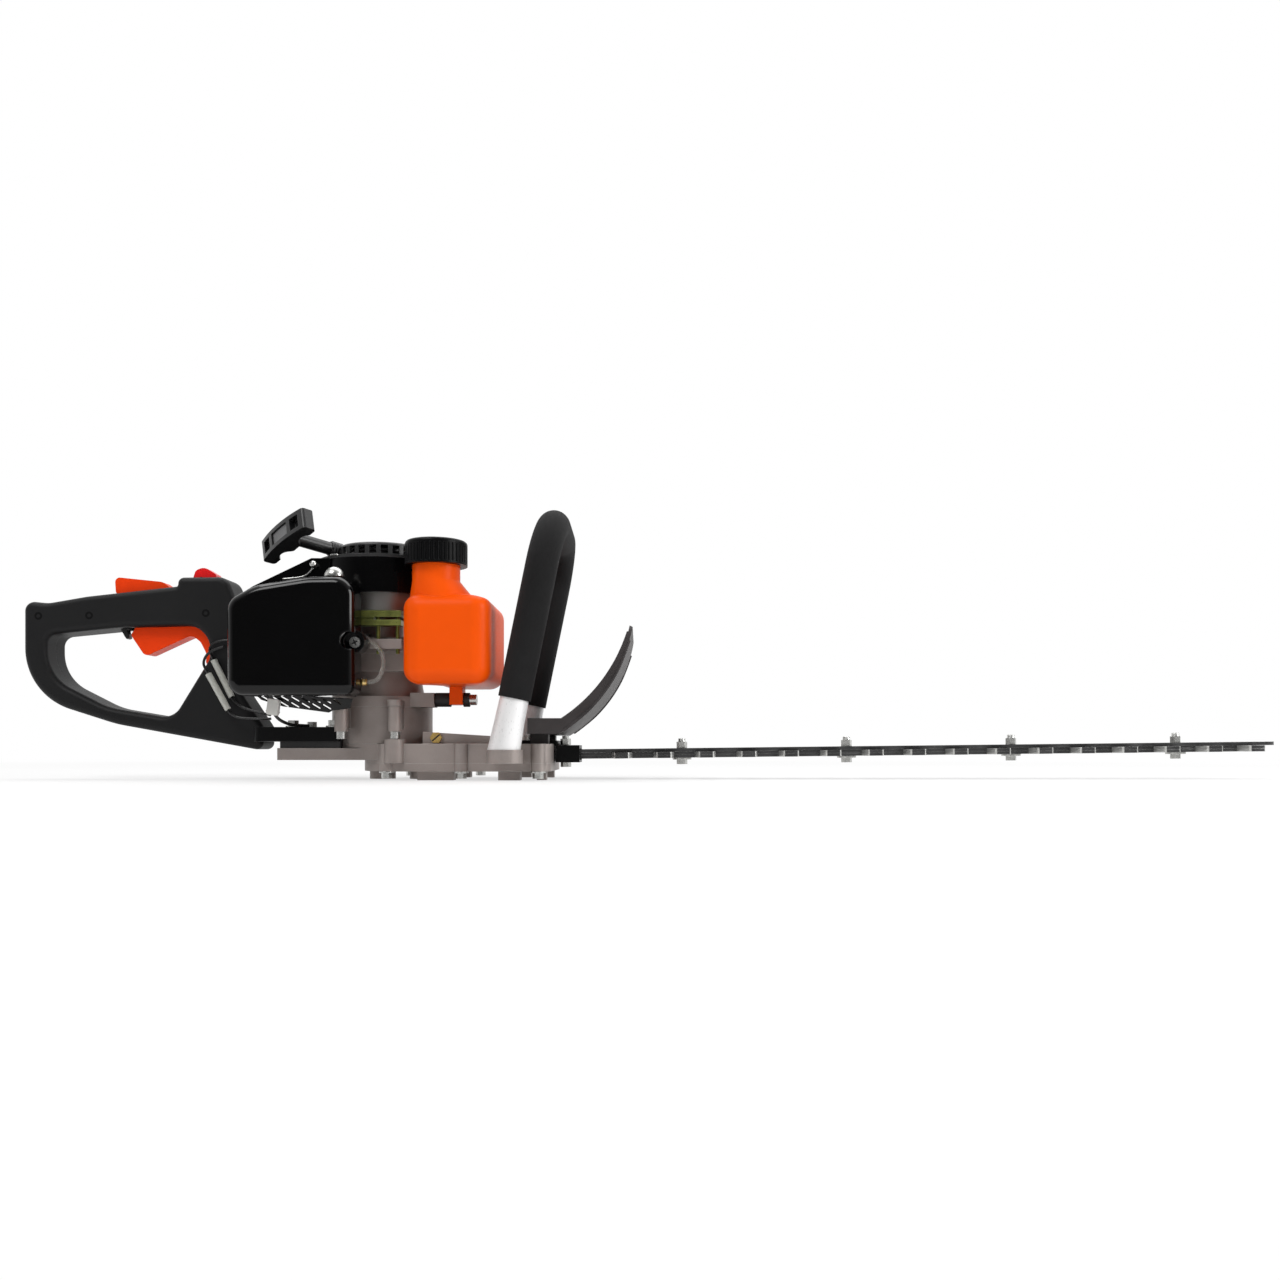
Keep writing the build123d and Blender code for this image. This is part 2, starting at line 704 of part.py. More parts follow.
# Fan shroud: drum over the fan and hood over the cylinder
hood_points = (
    (shroud_rear_x, 122),
    (shroud_rear_x, shroud_top_z - 32),
    (-97, shroud_top_z - 23),
    (-49, shroud_top_z),
    (-34, shroud_top_z),
    (-34, 122),
)
inner_points = (
    (shroud_rear_x + shroud_wall, 121),
    (shroud_rear_x + shroud_wall, shroud_top_z - 33.5),
    (-96, shroud_top_z - 25.5),
    (-48.5, shroud_top_z - shroud_wall),
    (-33, shroud_top_z - shroud_wall),
    (-33, 121),
)
with BuildPart() as fan_shroud:
    with BuildSketch(Plane.XZ):
        with BuildLine():
            Polyline(*hood_points, close=True)
        make_face()
    extrude(amount=shroud_half, both=True)
    fillet(fan_shroud.edges().filter_by(Axis.Z).sort_by(Axis.X)[:2], 8)
    with Locations((0, 0, shroud_low_z)):
        Cylinder(shroud_r, shroud_top_z - shroud_low_z, align=upright)
    with BuildSketch(Plane.XZ):
        with BuildLine():
            Polyline(*inner_points, close=True)
        make_face()
    extrude(amount=shroud_half - shroud_wall, both=True, mode=Mode.SUBTRACT)
    with Locations((0, 0, shroud_low_z)):
        Cylinder(shroud_r - shroud_wall, 60, align=upright, mode=Mode.SUBTRACT)
    with Locations((-20, 0, 100)):
        Box(60, 2 * (shroud_half - shroud_wall), 2 * (shroud_low_z - 100), mode=Mode.SUBTRACT)
save(fan_shroud, "fan_shroud")

# Starter cover with a ring of slots and a rope guide
pull = Vector(-0.649, -0.752, 0.114).normalized()
rope_exit = Vector(-34, -8, shroud_top_z + 11.5)
ring_low_z = shroud_top_z + 2.5
guide_plane = Plane(origin=rope_exit, z_dir=pull)
with BuildPart() as starter_cover:
    with Locations((0, 0, shroud_top_z)):
        Cylinder(shroud_r, 2.5, align=upright)
    with Locations((0, 0, ring_low_z)):
        Cylinder(starter_r, starter_top_z - ring_low_z, align=upright)
    fillet(starter_cover.edges().filter_by(GeomType.CIRCLE).sort_by(Axis.Z)[-1], 3)
    with Locations(guide_plane):
        Cylinder(6, 12, align=upright)
    with Locations((0, 0, shroud_top_z)):
        Cylinder(starter_r - 2.5, starter_top_z - 2.5 - shroud_top_z, align=upright, mode=Mode.SUBTRACT)
    with Locations((0, 0, ring_low_z)):
        Cylinder(5, starter_top_z - ring_low_z - 1, align=upright)
    with PolarLocations(starter_r, starter_slots, 0):
        with Locations((0, 0, ring_low_z + 1.2)):
            Box(12, 6, 9, align=upright, mode=Mode.SUBTRACT)
    with Locations(guide_plane):
        Cylinder(rope_r + 0.6, 60, mode=Mode.SUBTRACT)
    for turn in (45, 135, 225, 315):
        with Locations((46 * cos(radians(turn)), 46 * sin(radians(turn)), shroud_top_z)):
            Cylinder(2 + hole_gap, 10, align=upright, mode=Mode.SUBTRACT)
save(starter_cover, "starter_cover")

# Rope reel of the starter
with BuildPart() as starter_reel:
    with Locations((0, 0, ring_low_z + 0.5)):
        Cylinder(reel_r, 8.5, align=upright)
    with BuildPart(mode=Mode.PRIVATE) as reel_groove:
        Cylinder(reel_r + 5, 4.5, align=upright)
        Cylinder(reel_r - 7, 4.5, align=upright, mode=Mode.SUBTRACT)
    with Locations((0, 0, ring_low_z + 2.5)):
        add(reel_groove.part, mode=Mode.SUBTRACT)
    Cylinder(5 + running_fit, 250, align=upright, mode=Mode.SUBTRACT)
save(starter_reel, "starter_reel")

# Starter handle: a T bar on a stem, with three pockets in its outer face
bar_axis = Vector(0.734, -0.581, 0.352).normalized()
bar_axis = (bar_axis - pull * bar_axis.dot(pull)).normalized()
handle_foot = rope_exit + pull * (12 + free_gap)
bar_middle = rope_exit + pull * 54
bar_plane = Plane(origin=bar_middle, x_dir=bar_axis, z_dir=pull)
bar_side = Plane(origin=bar_middle, x_dir=bar_axis, z_dir=bar_axis.cross(pull))
with BuildPart() as starter_handle:
    with BuildSketch(bar_side) as bar_outline:
        with BuildLine():
            Polyline((-31, 3), (-31, -8), (-22, -8))
            ThreePointArc((-22, -8), (-16, -4), (-7, -8))
            Polyline((-7, -8), (-5, -10), (5, -10), (7, -8))
            ThreePointArc((7, -8), (16, -4), (22, -8))
            Polyline((22, -8), (31, -8), (31, 3))
            ThreePointArc((31, 3), (0, 6.5), (-31, 3))
        make_face()
        fillet([end for end in bar_outline.vertices() if abs(end.X) > 30], 3)
    extrude(amount=9, both=True)
    with BuildSketch(bar_plane):
        for spot, wide in ((-20, 10), (0, 22), (20, 10)):
            with Locations((spot, 0)):
                Rectangle(wide, 11)
    extrude(amount=20, mode=Mode.SUBTRACT)
    with Locations(Plane(origin=bar_middle, z_dir=pull)):
        Cylinder(7, 4)
    with Locations(Plane(origin=handle_foot, z_dir=pull)):
        Cylinder(5.5, 37, align=upright)
    with Locations(Plane(origin=handle_foot, z_dir=pull)):
        Cylinder(rope_r + 0.1, 30, align=upright, mode=Mode.SUBTRACT)
save(starter_handle, "starter_handle")

# Starter rope from the guide to the knot in the handle
with BuildPart() as starter_rope:
    with Locations(Plane(origin=rope_exit, z_dir=pull)):
        Cylinder(rope_r, 40, align=upright)
save(starter_rope, "starter_rope")

# Screws of the starter cover
with BuildPart() as cover_screws:
    for turn in (45, 135, 225, 315):
        with Locations((46 * cos(radians(turn)), 46 * sin(radians(turn)), ring_low_z)):
            Cylinder(3.8, 2.4, align=upright)
            Cylinder(2, 4, align=(Align.CENTER, Align.CENTER, Align.MAX))
save(cover_screws, "cover_screws")

# Muffler, a hollow box with its inlet stub and its outlet
with BuildPart() as muffler_gas:
    with Locations((muffler_x[0] + muffler_wall, muffler_y[0] + muffler_wall, muffler_z[0] + muffler_wall)):
        Box(
            muffler_x[1] - muffler_x[0] - 2 * muffler_wall,
            muffler_y[1] - muffler_y[0] - 2 * muffler_wall,
            muffler_z[1] - muffler_z[0] - 2 * muffler_wall,
            align=corner,
        )
    fillet(muffler_gas.edges(), 7 - muffler_wall)
    with Locations(Plane(origin=(port_x, muffler_y[1] - 8, cylinder_axis_z), z_dir=(0, 1, 0))):
        Cylinder(port_r, 40, align=upright)
with BuildPart() as muffler:
    with Locations((muffler_x[0], muffler_y[0], muffler_z[0])):
        Box(
            muffler_x[1] - muffler_x[0], muffler_y[1] - muffler_y[0], muffler_z[1] - muffler_z[0], align=corner
        )
    fillet(muffler.edges(), 7)
    with Locations((port_x, muffler_y[1] - 1, cylinder_axis_z)):
        Box(30, (fin_size - 2) / -2 - muffler_y[1] + 1, 28, align=(Align.CENTER, Align.MIN, Align.CENTER))
    with Locations((muffler_x[0] + 14, (muffler_y[0] + muffler_y[1]) / 2, muffler_z[0] + 2)):
        Cylinder(6, 6.4, align=(Align.CENTER, Align.CENTER, Align.MAX))
    add(muffler_gas.part, mode=Mode.SUBTRACT)
    with Locations((muffler_x[0] + 14, (muffler_y[0] + muffler_y[1]) / 2, muffler_z[0] + 2)):
        Cylinder(4.6, 6.4, align=(Align.CENTER, Align.CENTER, Align.MAX), mode=Mode.SUBTRACT)
save(muffler, "muffler")

# Muffler cover, a deep rounded shell with a screw boss and a louvre grille below
cover_low_z = 68.5
cover_top_z = 163.8
cover_points = (
    (-105.5, 144),
    (-84, 156),
    (-40, cover_top_z - 0.5),
    (-4, cover_top_z),
    (-4, cover_low_z),
    (-105, cover_low_z),
)
cover_face = outline(cover_points, (14, 40, 60, 16, 8, 12))
with BuildSketch() as cover_hollow:
    add(cover_face)
    offset(amount=-cover_wall, mode=Mode.REPLACE)
boss_x = -7.4
grille_plane = Plane(origin=(-48, -61, 63), x_dir=(1, 0, -0.06), z_dir=(0, -1, -0.15))
boss_z = 112
dome_x = -22
dome_y = -72
grille_pitch = 8.6
grille_points = ((-42, 6), (-36, 0.8), (-18, -3.6), (19, -6.4), (22, -4.6), (36, -2), (38, 6))
with BuildPart() as muffler_room:
    with BuildSketch(Plane.XZ.offset(-cover_back_y)):
        add(cover_hollow.sketch)
    extrude(amount=cover_back_y - cover_near_y - cover_wall)
    fillet(muffler_room.faces().sort_by(Axis.Y)[0].edges(), cover_round - cover_wall)
with BuildPart() as muffler_cover:
    with BuildSketch(Plane.XZ.offset(-cover_back_y)):
        add(cover_face)
    extrude(amount=cover_back_y - cover_near_y)
    fillet(muffler_cover.faces().sort_by(Axis.Y)[0].edges(), cover_round)
    add(muffler_room.part, mode=Mode.SUBTRACT)
    with Locations((boss_x, cover_back_y, boss_z)):
        Cylinder(9.5, 14, rotation=(90, 0, 0), align=upright)
    with Locations((boss_x, cover_back_y - 5, boss_z)):
        Cylinder(7, 40, rotation=(90, 0, 0), align=upright, mode=Mode.SUBTRACT)
    with Locations((boss_x, cover_back_y, boss_z)):
        Cylinder(2.5 + hole_gap, 40, rotation=(90, 0, 0), mode=Mode.SUBTRACT)
    with Locations((dome_x, dome_y, 140)):
        Cylinder(3 + hole_gap, 40, align=upright, mode=Mode.SUBTRACT)
    with Locations((-50, cover_back_y, cover_low_z)):
        Box(80, 14, cover_wall, align=upright)
    with BuildSketch(grille_plane):
        with BuildLine():
            Polyline(*grille_points, close=True)
        make_face()
        for row, first, last in ((3.0, -4, 3), (-1.8, -2, 2)):
            for slot in range(first, last + 1):
                with Locations(Location((grille_pitch * slot, row), -28)):
                    SlotOverall(7.6, 1.4, mode=Mode.SUBTRACT)
    extrude(amount=2)
save(muffler_cover, "muffler_cover")

# Screws of the muffler cover: a dome nut on top and a cross screw in the boss
dome_z = cover_top_z + 0.3
with BuildPart() as muffler_cover_screws:
    with Locations((boss_x, cover_back_y - 5, boss_z)):
        Cylinder(4.6, 3, rotation=(90, 0, 0), align=upright)
        Cylinder(2.5, 12, rotation=(90, 0, 0), align=(Align.CENTER, Align.CENTER, Align.MAX))
    with Locations((dome_x, dome_y, dome_z)):
        Sphere(8, arc_size1=0, align=upright)
        Cylinder(3, 14, align=(Align.CENTER, Align.CENTER, Align.MAX))
save(muffler_cover_screws, "muffler_cover_screws")

# Carburettor on its insulator, with the air filter box outside it
intake_y = fin_size / 2 - 1
with BuildPart() as carburettor:
    with Locations((port_x, intake_y, cylinder_axis_z)):
        Box(30, 7, 28, align=(Align.CENTER, Align.MIN, Align.CENTER))
    with Locations((port_x, intake_y + 7, cylinder_axis_z)):
        Box(34, 24, 30, align=(Align.CENTER, Align.MIN, Align.CENTER))
    with Locations((port_x, intake_y + 19, cylinder_axis_z - 15)):
        Cylinder(12, 7, align=(Align.CENTER, Align.CENTER, Align.MAX))
    with Locations((port_x + 17, intake_y + 15, cylinder_axis_z - 6)):
        Cylinder(2.4, 8, rotation=(0, 90, 0), align=upright)
    with Locations((port_x, intake_y, cylinder_axis_z)):
        Cylinder(port_r, 90, rotation=(90, 0, 0), mode=Mode.SUBTRACT)
save(carburettor, "carburettor")
filter_y = intake_y + 31
with BuildPart() as air_filter_box:
    with BuildSketch(Plane.XZ.offset(-filter_y)):
        with Locations((port_x - 4, cylinder_axis_z)):
            RectangleRounded(76, 72, 10)
    extrude(amount=-22)
    fillet(air_filter_box.faces().sort_by(Axis.Y)[-1].edges(), 6)
    with BuildSketch(Plane.XZ.offset(-filter_y - 3)):
        with Locations((port_x - 4, cylinder_axis_z)):
            RectangleRounded(72, 68, 8)
    extrude(amount=-17, mode=Mode.SUBTRACT)
    with Locations((port_x, filter_y, cylinder_axis_z)):
        Cylinder(port_r, 10, rotation=(90, 0, 0), mode=Mode.SUBTRACT)
    for slot in range(6):
        with Locations((port_x - 29 + 10 * slot, filter_y + 22, cylinder_axis_z - 6)):
            Box(4, 10, 40, mode=Mode.SUBTRACT)
save(air_filter_box, "air_filter_box")

# Fuel tank: a rounded bottle, stepped round the flywheel, with a filler neck and a lug
tank_plan = outline(
    (
        (tank_x[0], tank_y[0]),
        (tank_x[1], tank_y[0]),
        (tank_x[1], tank_y[1]),
        (tank_step_x, tank_y[1]),
        (tank_step_x, -42),
        (tank_x[0], -50),
    ),
    (15, 15, 15, 14, 10, 15),
)
shoulder_spot = (tank_x[0] + 1 + shoulder_r, tank_y[0] + 4 + shoulder_r)
slope_points = (
    (tank_x[1] - slope_run, tank_z[1]),
    (tank_x[1] + slope_run, tank_z[1] - 2 * slope_drop),
    (tank_x[1] + slope_run, tank_z[1] + slope_run),
    (tank_x[1] - slope_run, tank_z[1] + slope_run),
)
with BuildSketch() as tank_room:
    add(tank_plan)
    offset(amount=-tank_wall, mode=Mode.REPLACE)
with BuildPart() as tank_hollow:
    with BuildSketch(Plane.XY.offset(tank_z[0] + tank_wall)):
        add(tank_room.sketch)
    extrude(amount=tank_z[1] - tank_z[0] - 2 * tank_wall)
    fillet(tank_hollow.faces().sort_by(Axis.Z)[-1].edges(), tank_round - tank_wall)
    fillet(tank_hollow.faces().sort_by(Axis.Z)[0].edges(), tank_round - tank_wall)
    with BuildSketch(Plane.XZ):
        with BuildLine():
            Polyline(*[(x, z - tank_wall) for x, z in slope_points], close=True)
        make_face()
    extrude(amount=2 * abs(tank_y[0]), both=True, mode=Mode.SUBTRACT)
    with BuildSketch(Plane.XY.offset(tank_z[1] - tank_wall - 6)):
        with Locations(shoulder_spot):
            Circle(shoulder_r - tank_wall - 1)
    with BuildSketch(Plane.XY.offset(tank_z[1] + shoulder_rise - 1)):
        with Locations((neck_x, neck_y)):
            Circle(neck_r - neck_wall)
    loft()
with BuildPart() as fuel_tank:
    with BuildSketch(Plane.XY.offset(tank_z[0])):
        add(tank_plan)
    extrude(amount=tank_z[1] - tank_z[0])
    fillet(fuel_tank.faces().sort_by(Axis.Z)[-1].edges(), tank_round)
    fillet(fuel_tank.faces().sort_by(Axis.Z)[0].edges(), tank_round)
    with BuildSketch(Plane.XZ):
        with BuildLine():
            Polyline(*slope_points, close=True)
        make_face()
    extrude(amount=2 * abs(tank_y[0]), both=True, mode=Mode.SUBTRACT)
    slope_middle = (tank_x[1] - slope_run / 2, (tank_y[0] + tank_y[1]) / 2, tank_z[1] - slope_drop / 2)
    fillet(fuel_tank.faces().sort_by_distance(slope_middle)[0].edges(), slope_round)
    with BuildSketch(Plane.XY.offset(tank_z[1] - 5)):
        with Locations(shoulder_spot):
            Circle(shoulder_r)
    with BuildSketch(Plane.XY.offset(tank_z[1] + shoulder_rise)):
        with Locations((neck_x, neck_y)):
            Circle(neck_r)
    loft()
    with Locations((neck_x, neck_y, tank_z[1])):
        Cylinder(neck_r, neck_top_z - tank_z[1], align=upright)
    add(tank_hollow.part, mode=Mode.SUBTRACT)
    with Locations((neck_x, neck_y, tank_z[1] - 20)):
        Cylinder(neck_r - neck_wall, 100, align=upright, mode=Mode.SUBTRACT)
    with Locations((lug_x[0], lug_y[0], 63)):
        Box(lug_x[1] - lug_x[0], lug_y[1] - lug_y[0], tank_z[0] + 1 - 63, align=corner)
    with Locations((lug_x[0], mount_y, mount_z)):
        Cylinder(2.5 + hole_gap, 60, rotation=(0, 90, 0), mode=Mode.SUBTRACT)
save(fuel_tank, "fuel_tank")

# Fuel cap with ribs round its rim
with BuildPart() as fuel_cap:
    with Locations((neck_x, neck_y, cap_low_z)):
        Cylinder(cap_r, cap_top_z - cap_low_z, align=upright)
    fillet(fuel_cap.edges().filter_by(GeomType.CIRCLE).sort_by(Axis.Z)[-1], 3)
    for rib in range(cap_ribs):
        turn = 2 * pi * rib / cap_ribs
        with Locations((neck_x + cap_r * cos(turn), neck_y + cap_r * sin(turn), cap_low_z + 1.5)):
            Cylinder(0.8, cap_top_z - cap_low_z - 5.5, align=upright, mode=Mode.SUBTRACT)
    with Locations((neck_x, neck_y, cap_low_z)):
        Cylinder(neck_r + free_gap, neck_top_z + 0.1 - cap_low_z, align=upright, mode=Mode.SUBTRACT)
save(fuel_cap, "fuel_cap")

# Tank mount: two rubbers and a bolt with a knob
with BuildPart() as tank_mount_rubbers:
    for rubber_x, rubber_end in ((lug_x[0] - 13, lug_x[0]), (lug_x[1], lug_x[1] + 5)):
        with Locations((rubber_x, mount_y, mount_z)):
            Cylinder(6, rubber_end - rubber_x, rotation=(0, 90, 0), align=upright)
            Cylinder(2.5 + hole_gap, 30, rotation=(0, 90, 0), mode=Mode.SUBTRACT)
save(tank_mount_rubbers, "tank_mount_rubbers")
with BuildPart() as tank_mount_bolt:
    with Locations((lug_x[0] - 18, mount_y, mount_z)):
        Cylinder(2.5, lug_x[1] + 5 - lug_x[0] + 18, rotation=(0, 90, 0), align=upright)
    with Locations((lug_x[1] + 5, mount_y, mount_z)):
        Cylinder(4.5, 6, rotation=(0, 90, 0), align=upright)
save(tank_mount_bolt, "tank_mount_bolt")

# Clear breather hose in a loop beside the muffler cover
hose_y = -56.1
with BuildPart() as breather_hose:
    with BuildLine() as hose_path:
        FilletPolyline(
            (-13, 2 - shroud_r, shroud_low_z - 0.1),
            (-13, hose_y, 132),
            (-6, hose_y, 120),
            (10, hose_y, 110),
            (15, hose_y, 95),
            (9, hose_y, 81),
            (-10, hose_y, 80),
            (-10, -crankcase_half - 0.5, 84.5),
            radius=(6, 10, 12, 12, 9, 7),
        )
    with BuildSketch(Plane(origin=hose_path.line @ 0, z_dir=hose_path.line % 0)):
        Circle(1.8)
    sweep()
save(breather_hose, "breather_hose")

# Fuel hose from the tank to the carburettor
with BuildPart() as fuel_hose:
    with BuildLine() as fuel_path:
        FilletPolyline(
            (62, tank_y[1], 92), (62, 48, 92), (20, 48, 86), (-8, 48, 100), (-29, 48, 100), radius=(14, 16, 14)
        )
    with BuildSketch(Plane(origin=fuel_path.line @ 0, z_dir=fuel_path.line % 0)):
        Circle(2.4)
    sweep()
save(fuel_hose, "fuel_hose")

# Front handle: bent tube, two metal posts and a foam grip
with BuildPart() as front_handle_tube:
    with BuildLine(handle_plane) as tube_path:
        FilletPolyline(
            (-leg_y, -10), (-leg_y, handle_rise), (leg_y, handle_rise), (leg_y, -10), radius=handle_bend
        )
    with BuildSketch(Plane(origin=tube_path.line @ 0, z_dir=tube_path.line % 0)):
        Circle(tube_r)
        Circle(tube_r - tube_wall, mode=Mode.SUBTRACT)
    sweep()
save(front_handle_tube, "front_handle_tube")
with BuildPart() as front_handle_posts:
    with Locations(*[plane.offset(-6) for plane in leg_planes]):
        Cone(post_low_r, post_top_r, grip_low + 6, align=upright)
    with Locations((leg_x, 0, ear_top_z)):
        Box(100, 300, 100, align=(Align.CENTER, Align.CENTER, Align.MAX), mode=Mode.SUBTRACT)
    with Locations(*leg_planes):
        Cylinder(tube_r, 200, mode=Mode.SUBTRACT)
save(front_handle_posts, "front_handle_posts")
with BuildPart() as front_grip:
    with BuildLine(handle_plane) as grip_path:
        FilletPolyline(
            (-leg_y, grip_low), (-leg_y, handle_rise), (leg_y, handle_rise), (leg_y, grip_low), radius=handle_bend
        )
    with BuildSketch(Plane(origin=grip_path.line @ 0, z_dir=grip_path.line % 0)):
        Circle(grip_r)
        Circle(tube_r, mode=Mode.SUBTRACT)
    sweep()
save(front_grip, "front_grip")

# Hand guard: a scoop of sheet with side cheeks, on two feet
with BuildPart() as hand_guard:
    with BuildSketch(Plane.XZ):
        with BuildLine():
            Polyline((214.6, guard_top_z), (217.6, guard_top_z - 2))
            ThreePointArc((217.6, guard_top_z - 2), (198, 76), (158, guard_low_z))
            Polyline((158, guard_low_z), (guard_back_x, guard_low_z), (guard_back_x, 50.5), (160, 50.5))
            ThreePointArc((160, 50.5), (191.5, 79.5), (214.6, guard_top_z))
        make_face()
    extrude(amount=guard_half, both=True)
    with BuildSketch(Plane.XZ):
        with BuildLine():
            Polyline((212, 145), (215.8, 131))
            ThreePointArc((215.8, 131), (195.8, 77.4), (157, guard_low_z + guard_wall))
            Polyline((157, guard_low_z + guard_wall), (guard_back_x - 5, guard_low_z + guard_wall))
            Polyline((guard_back_x - 5, guard_low_z + guard_wall), (guard_back_x - 5, 145), (212, 145))
        make_face()
    extrude(amount=guard_half - guard_wall, both=True, mode=Mode.SUBTRACT)
    with BuildSketch(Plane.YZ):
        with Locations((0, guard_top_z)):
            RectangleRounded(2 * guard_half, 240, 14, align=(Align.CENTER, Align.MAX))
    extrude(amount=300, mode=Mode.INTERSECT)
    for side in (-1, 1):
        with Locations((140, side * 38, case_top_z)):
            Box(15, 15, guard_low_z - case_top_z, align=upright)
    for side in (-1, 1):
        with Locations((140, side * 38, case_top_z)):
            Cylinder(2.5 + hole_gap, 40, align=upright, mode=Mode.SUBTRACT)
        with Locations((140, side * 38, case_top_z + strap_thickness)):
            Cylinder(5.2, 40, align=upright, mode=Mode.SUBTRACT)
save(hand_guard, "hand_guard")
# Blades: two toothed strips that slide under the guide bar
upper_z = blade_gap / 2
lower_z = -blade_gap / 2 - blade_thickness
guide_z = upper_z + blade_thickness + blade_gap
washer_z = lower_z - blade_gap - washer_thickness
bolt_spots = [clamp_bolt] + [first_bolt + bolt_spacing * n for n in range(bolt_count)]
pin_local = (gear_axis_x + rod_run - case_front_x) / cos(rise)


def blade_shape(tip):
    tooth = (
        (-tooth_root_width / 2, 0),
        (-tooth_tip_width / 2, tooth_reach),
        (tooth_tip_width / 2, tooth_reach),
        (tooth_root_width / 2, 0),
        (tooth_tip_width / 2, -tooth_reach),
        (-tooth_tip_width / 2, -tooth_reach),
    )
    with BuildSketch() as shape:
        with Locations((pin_local - eye_r - 1, 0)):
            Rectangle(tip - pin_local + eye_r + 1, tail_width, align=(Align.MIN, Align.CENTER))
        with Locations((first_tooth - tooth_root_width, 0)):
            Rectangle(tip - first_tooth + tooth_root_width, 2 * blade_half, align=(Align.MIN, Align.CENTER))
        with Locations(*[(first_tooth + tooth_pitch * n, 0) for n in range(tooth_count)]):
            Polygon(*tooth)
        ends = [v for v in shape.vertices() if abs(v.Y) > tooth_reach - 1]
        fillet(ends, 2.5)
        with Locations(*[(x, 0) for x in bolt_spots]):
            SlotCenterToCenter(stroke + 2, 2 * bolt_r + 1.4, mode=Mode.SUBTRACT)
    return shape.sketch


upper_shape = blade_shape(602)
lower_shape = blade_shape(594)
with BuildPart() as upper_blade:
    with BuildSketch(blade_plane.offset(upper_z)):
        add(upper_shape)
    extrude(amount=blade_thickness)
    stud = upper_rod_z - free_gap - (blade_plane.offset(upper_z) * Location((pin_local, 0, 0))).position.Z
    with Locations((gear_axis_x + rod_run, 0, upper_rod_z - free_gap)):
        Cylinder(eye_bore, stud, align=(Align.CENTER, Align.CENTER, Align.MAX))
save(upper_blade, "upper_blade")
with BuildPart() as lower_blade:
    with BuildSketch(blade_plane.offset(lower_z)):
        add(lower_shape)
    extrude(amount=blade_thickness)
    with Locations((gear_axis_x + rod_run, 0, lower_rod_z + rod_thickness + free_gap)):
        Cylinder(eye_bore, blade_mid_z - 2 - lower_rod_z - rod_thickness - free_gap, align=upright)
save(lower_blade, "lower_blade")

# Guide bar over the blades
with BuildPart() as blade_guide_bar:
    with BuildSketch(blade_plane.offset(guide_z)) as bar_sketch:
        with Locations((1, 0)):
            Rectangle(guide_length - 1, 2 * guide_half, align=(Align.MIN, Align.CENTER))
        fillet(bar_sketch.vertices().sort_by(Axis.X)[-2:], 9)
        with Locations(*[(x, 0) for x in bolt_spots]):
            Circle(bolt_r + hole_gap, mode=Mode.SUBTRACT)
    extrude(amount=guide_thickness)
save(blade_guide_bar, "blade_guide_bar")

# Bracket from the gear case to the blades, closed round them
with BuildPart() as blade_bracket:
    with BuildSketch(Plane.XZ):
        with BuildLine():
            Polyline(
                (120, case_top_z),
                (case_front_x + free_gap, case_top_z),
                (case_front_x + 2, 26),
                (case_front_x + 22, 26),
                (case_front_x + 22, 26 + strap_thickness),
                (case_front_x + 4.5, 26 + strap_thickness),
                (case_front_x + 2.5, case_top_z + strap_thickness),
                (120, case_top_z + strap_thickness),
                close=True,
            )
        make_face()
    extrude(amount=20, both=True)
    for side in (-1, 1):
        with Locations((case_front_x + 2, side * 18.5, 14.3)):
            Box(20, 3, 12, align=front_up)
    with Locations((case_front_x + 2, 0, 14.3)):
        Box(20, 40, 2, align=front_up)
    with Locations((case_front_x + clamp_bolt, 0, 0)):
        Cylinder(bolt_r + 2 * hole_gap, 80, mode=Mode.SUBTRACT)
    for side in (-1, 1):
        with Locations((128, side * 14, case_top_z - 1)):
            Cylinder(2.5 + hole_gap, 10, align=upright, mode=Mode.SUBTRACT)
save(blade_bracket, "blade_bracket")
with BuildPart() as case_top_screws:
    with Locations(*[(x, y, case_top_z + strap_thickness) for x, y in top_screw_spots]):
        Cylinder(4.4, 4.5, align=upright)
        Cylinder(2.5, strap_thickness + 2.3, align=(Align.CENTER, Align.CENTER, Align.MAX))
    with Locations(*[(x, y, case_top_z + strap_thickness + 2.5) for x, y in top_screw_spots]):
        Cylinder(2.2, 4, align=upright, mode=Mode.SUBTRACT)
save(case_top_screws, "case_top_screws")

# Blade bolts with flanged heads, and nuts
with BuildPart() as blade_bolts:
    for x in bolt_spots:
        under = 14 - blade_mid_z if x == clamp_bolt else washer_z
        with BuildSketch(blade_plane.offset(under)):
            with Locations((x, 0)):
                RegularPolygon(nut_flat / 2, 6, major_radius=False)
        extrude(amount=-4)
        if x != clamp_bolt:
            with BuildSketch(blade_plane.offset(under)):
                with Locations((x, 0)):
                    Circle(washer_r)
            extrude(amount=washer_thickness)
        with BuildSketch(blade_plane.offset(under)):
            with Locations((x, 0)):
                Circle(bolt_r)
        extrude(amount=(17.4 if x == clamp_bolt else guide_z + guide_thickness + 8) - under)
save(blade_bolts, "blade_bolts")
with BuildPart() as blade_nuts:
    for x in bolt_spots:
        over = 29.1 - blade_mid_z if x == clamp_bolt else guide_z + guide_thickness
        with BuildSketch(blade_plane.offset(over)):
            with Locations((x, 0)):
                RegularPolygon(nut_flat / 2, 6, major_radius=False)
                Circle(bolt_r + running_fit, mode=Mode.SUBTRACT)
        extrude(amount=5.5)
save(blade_nuts, "blade_nuts")

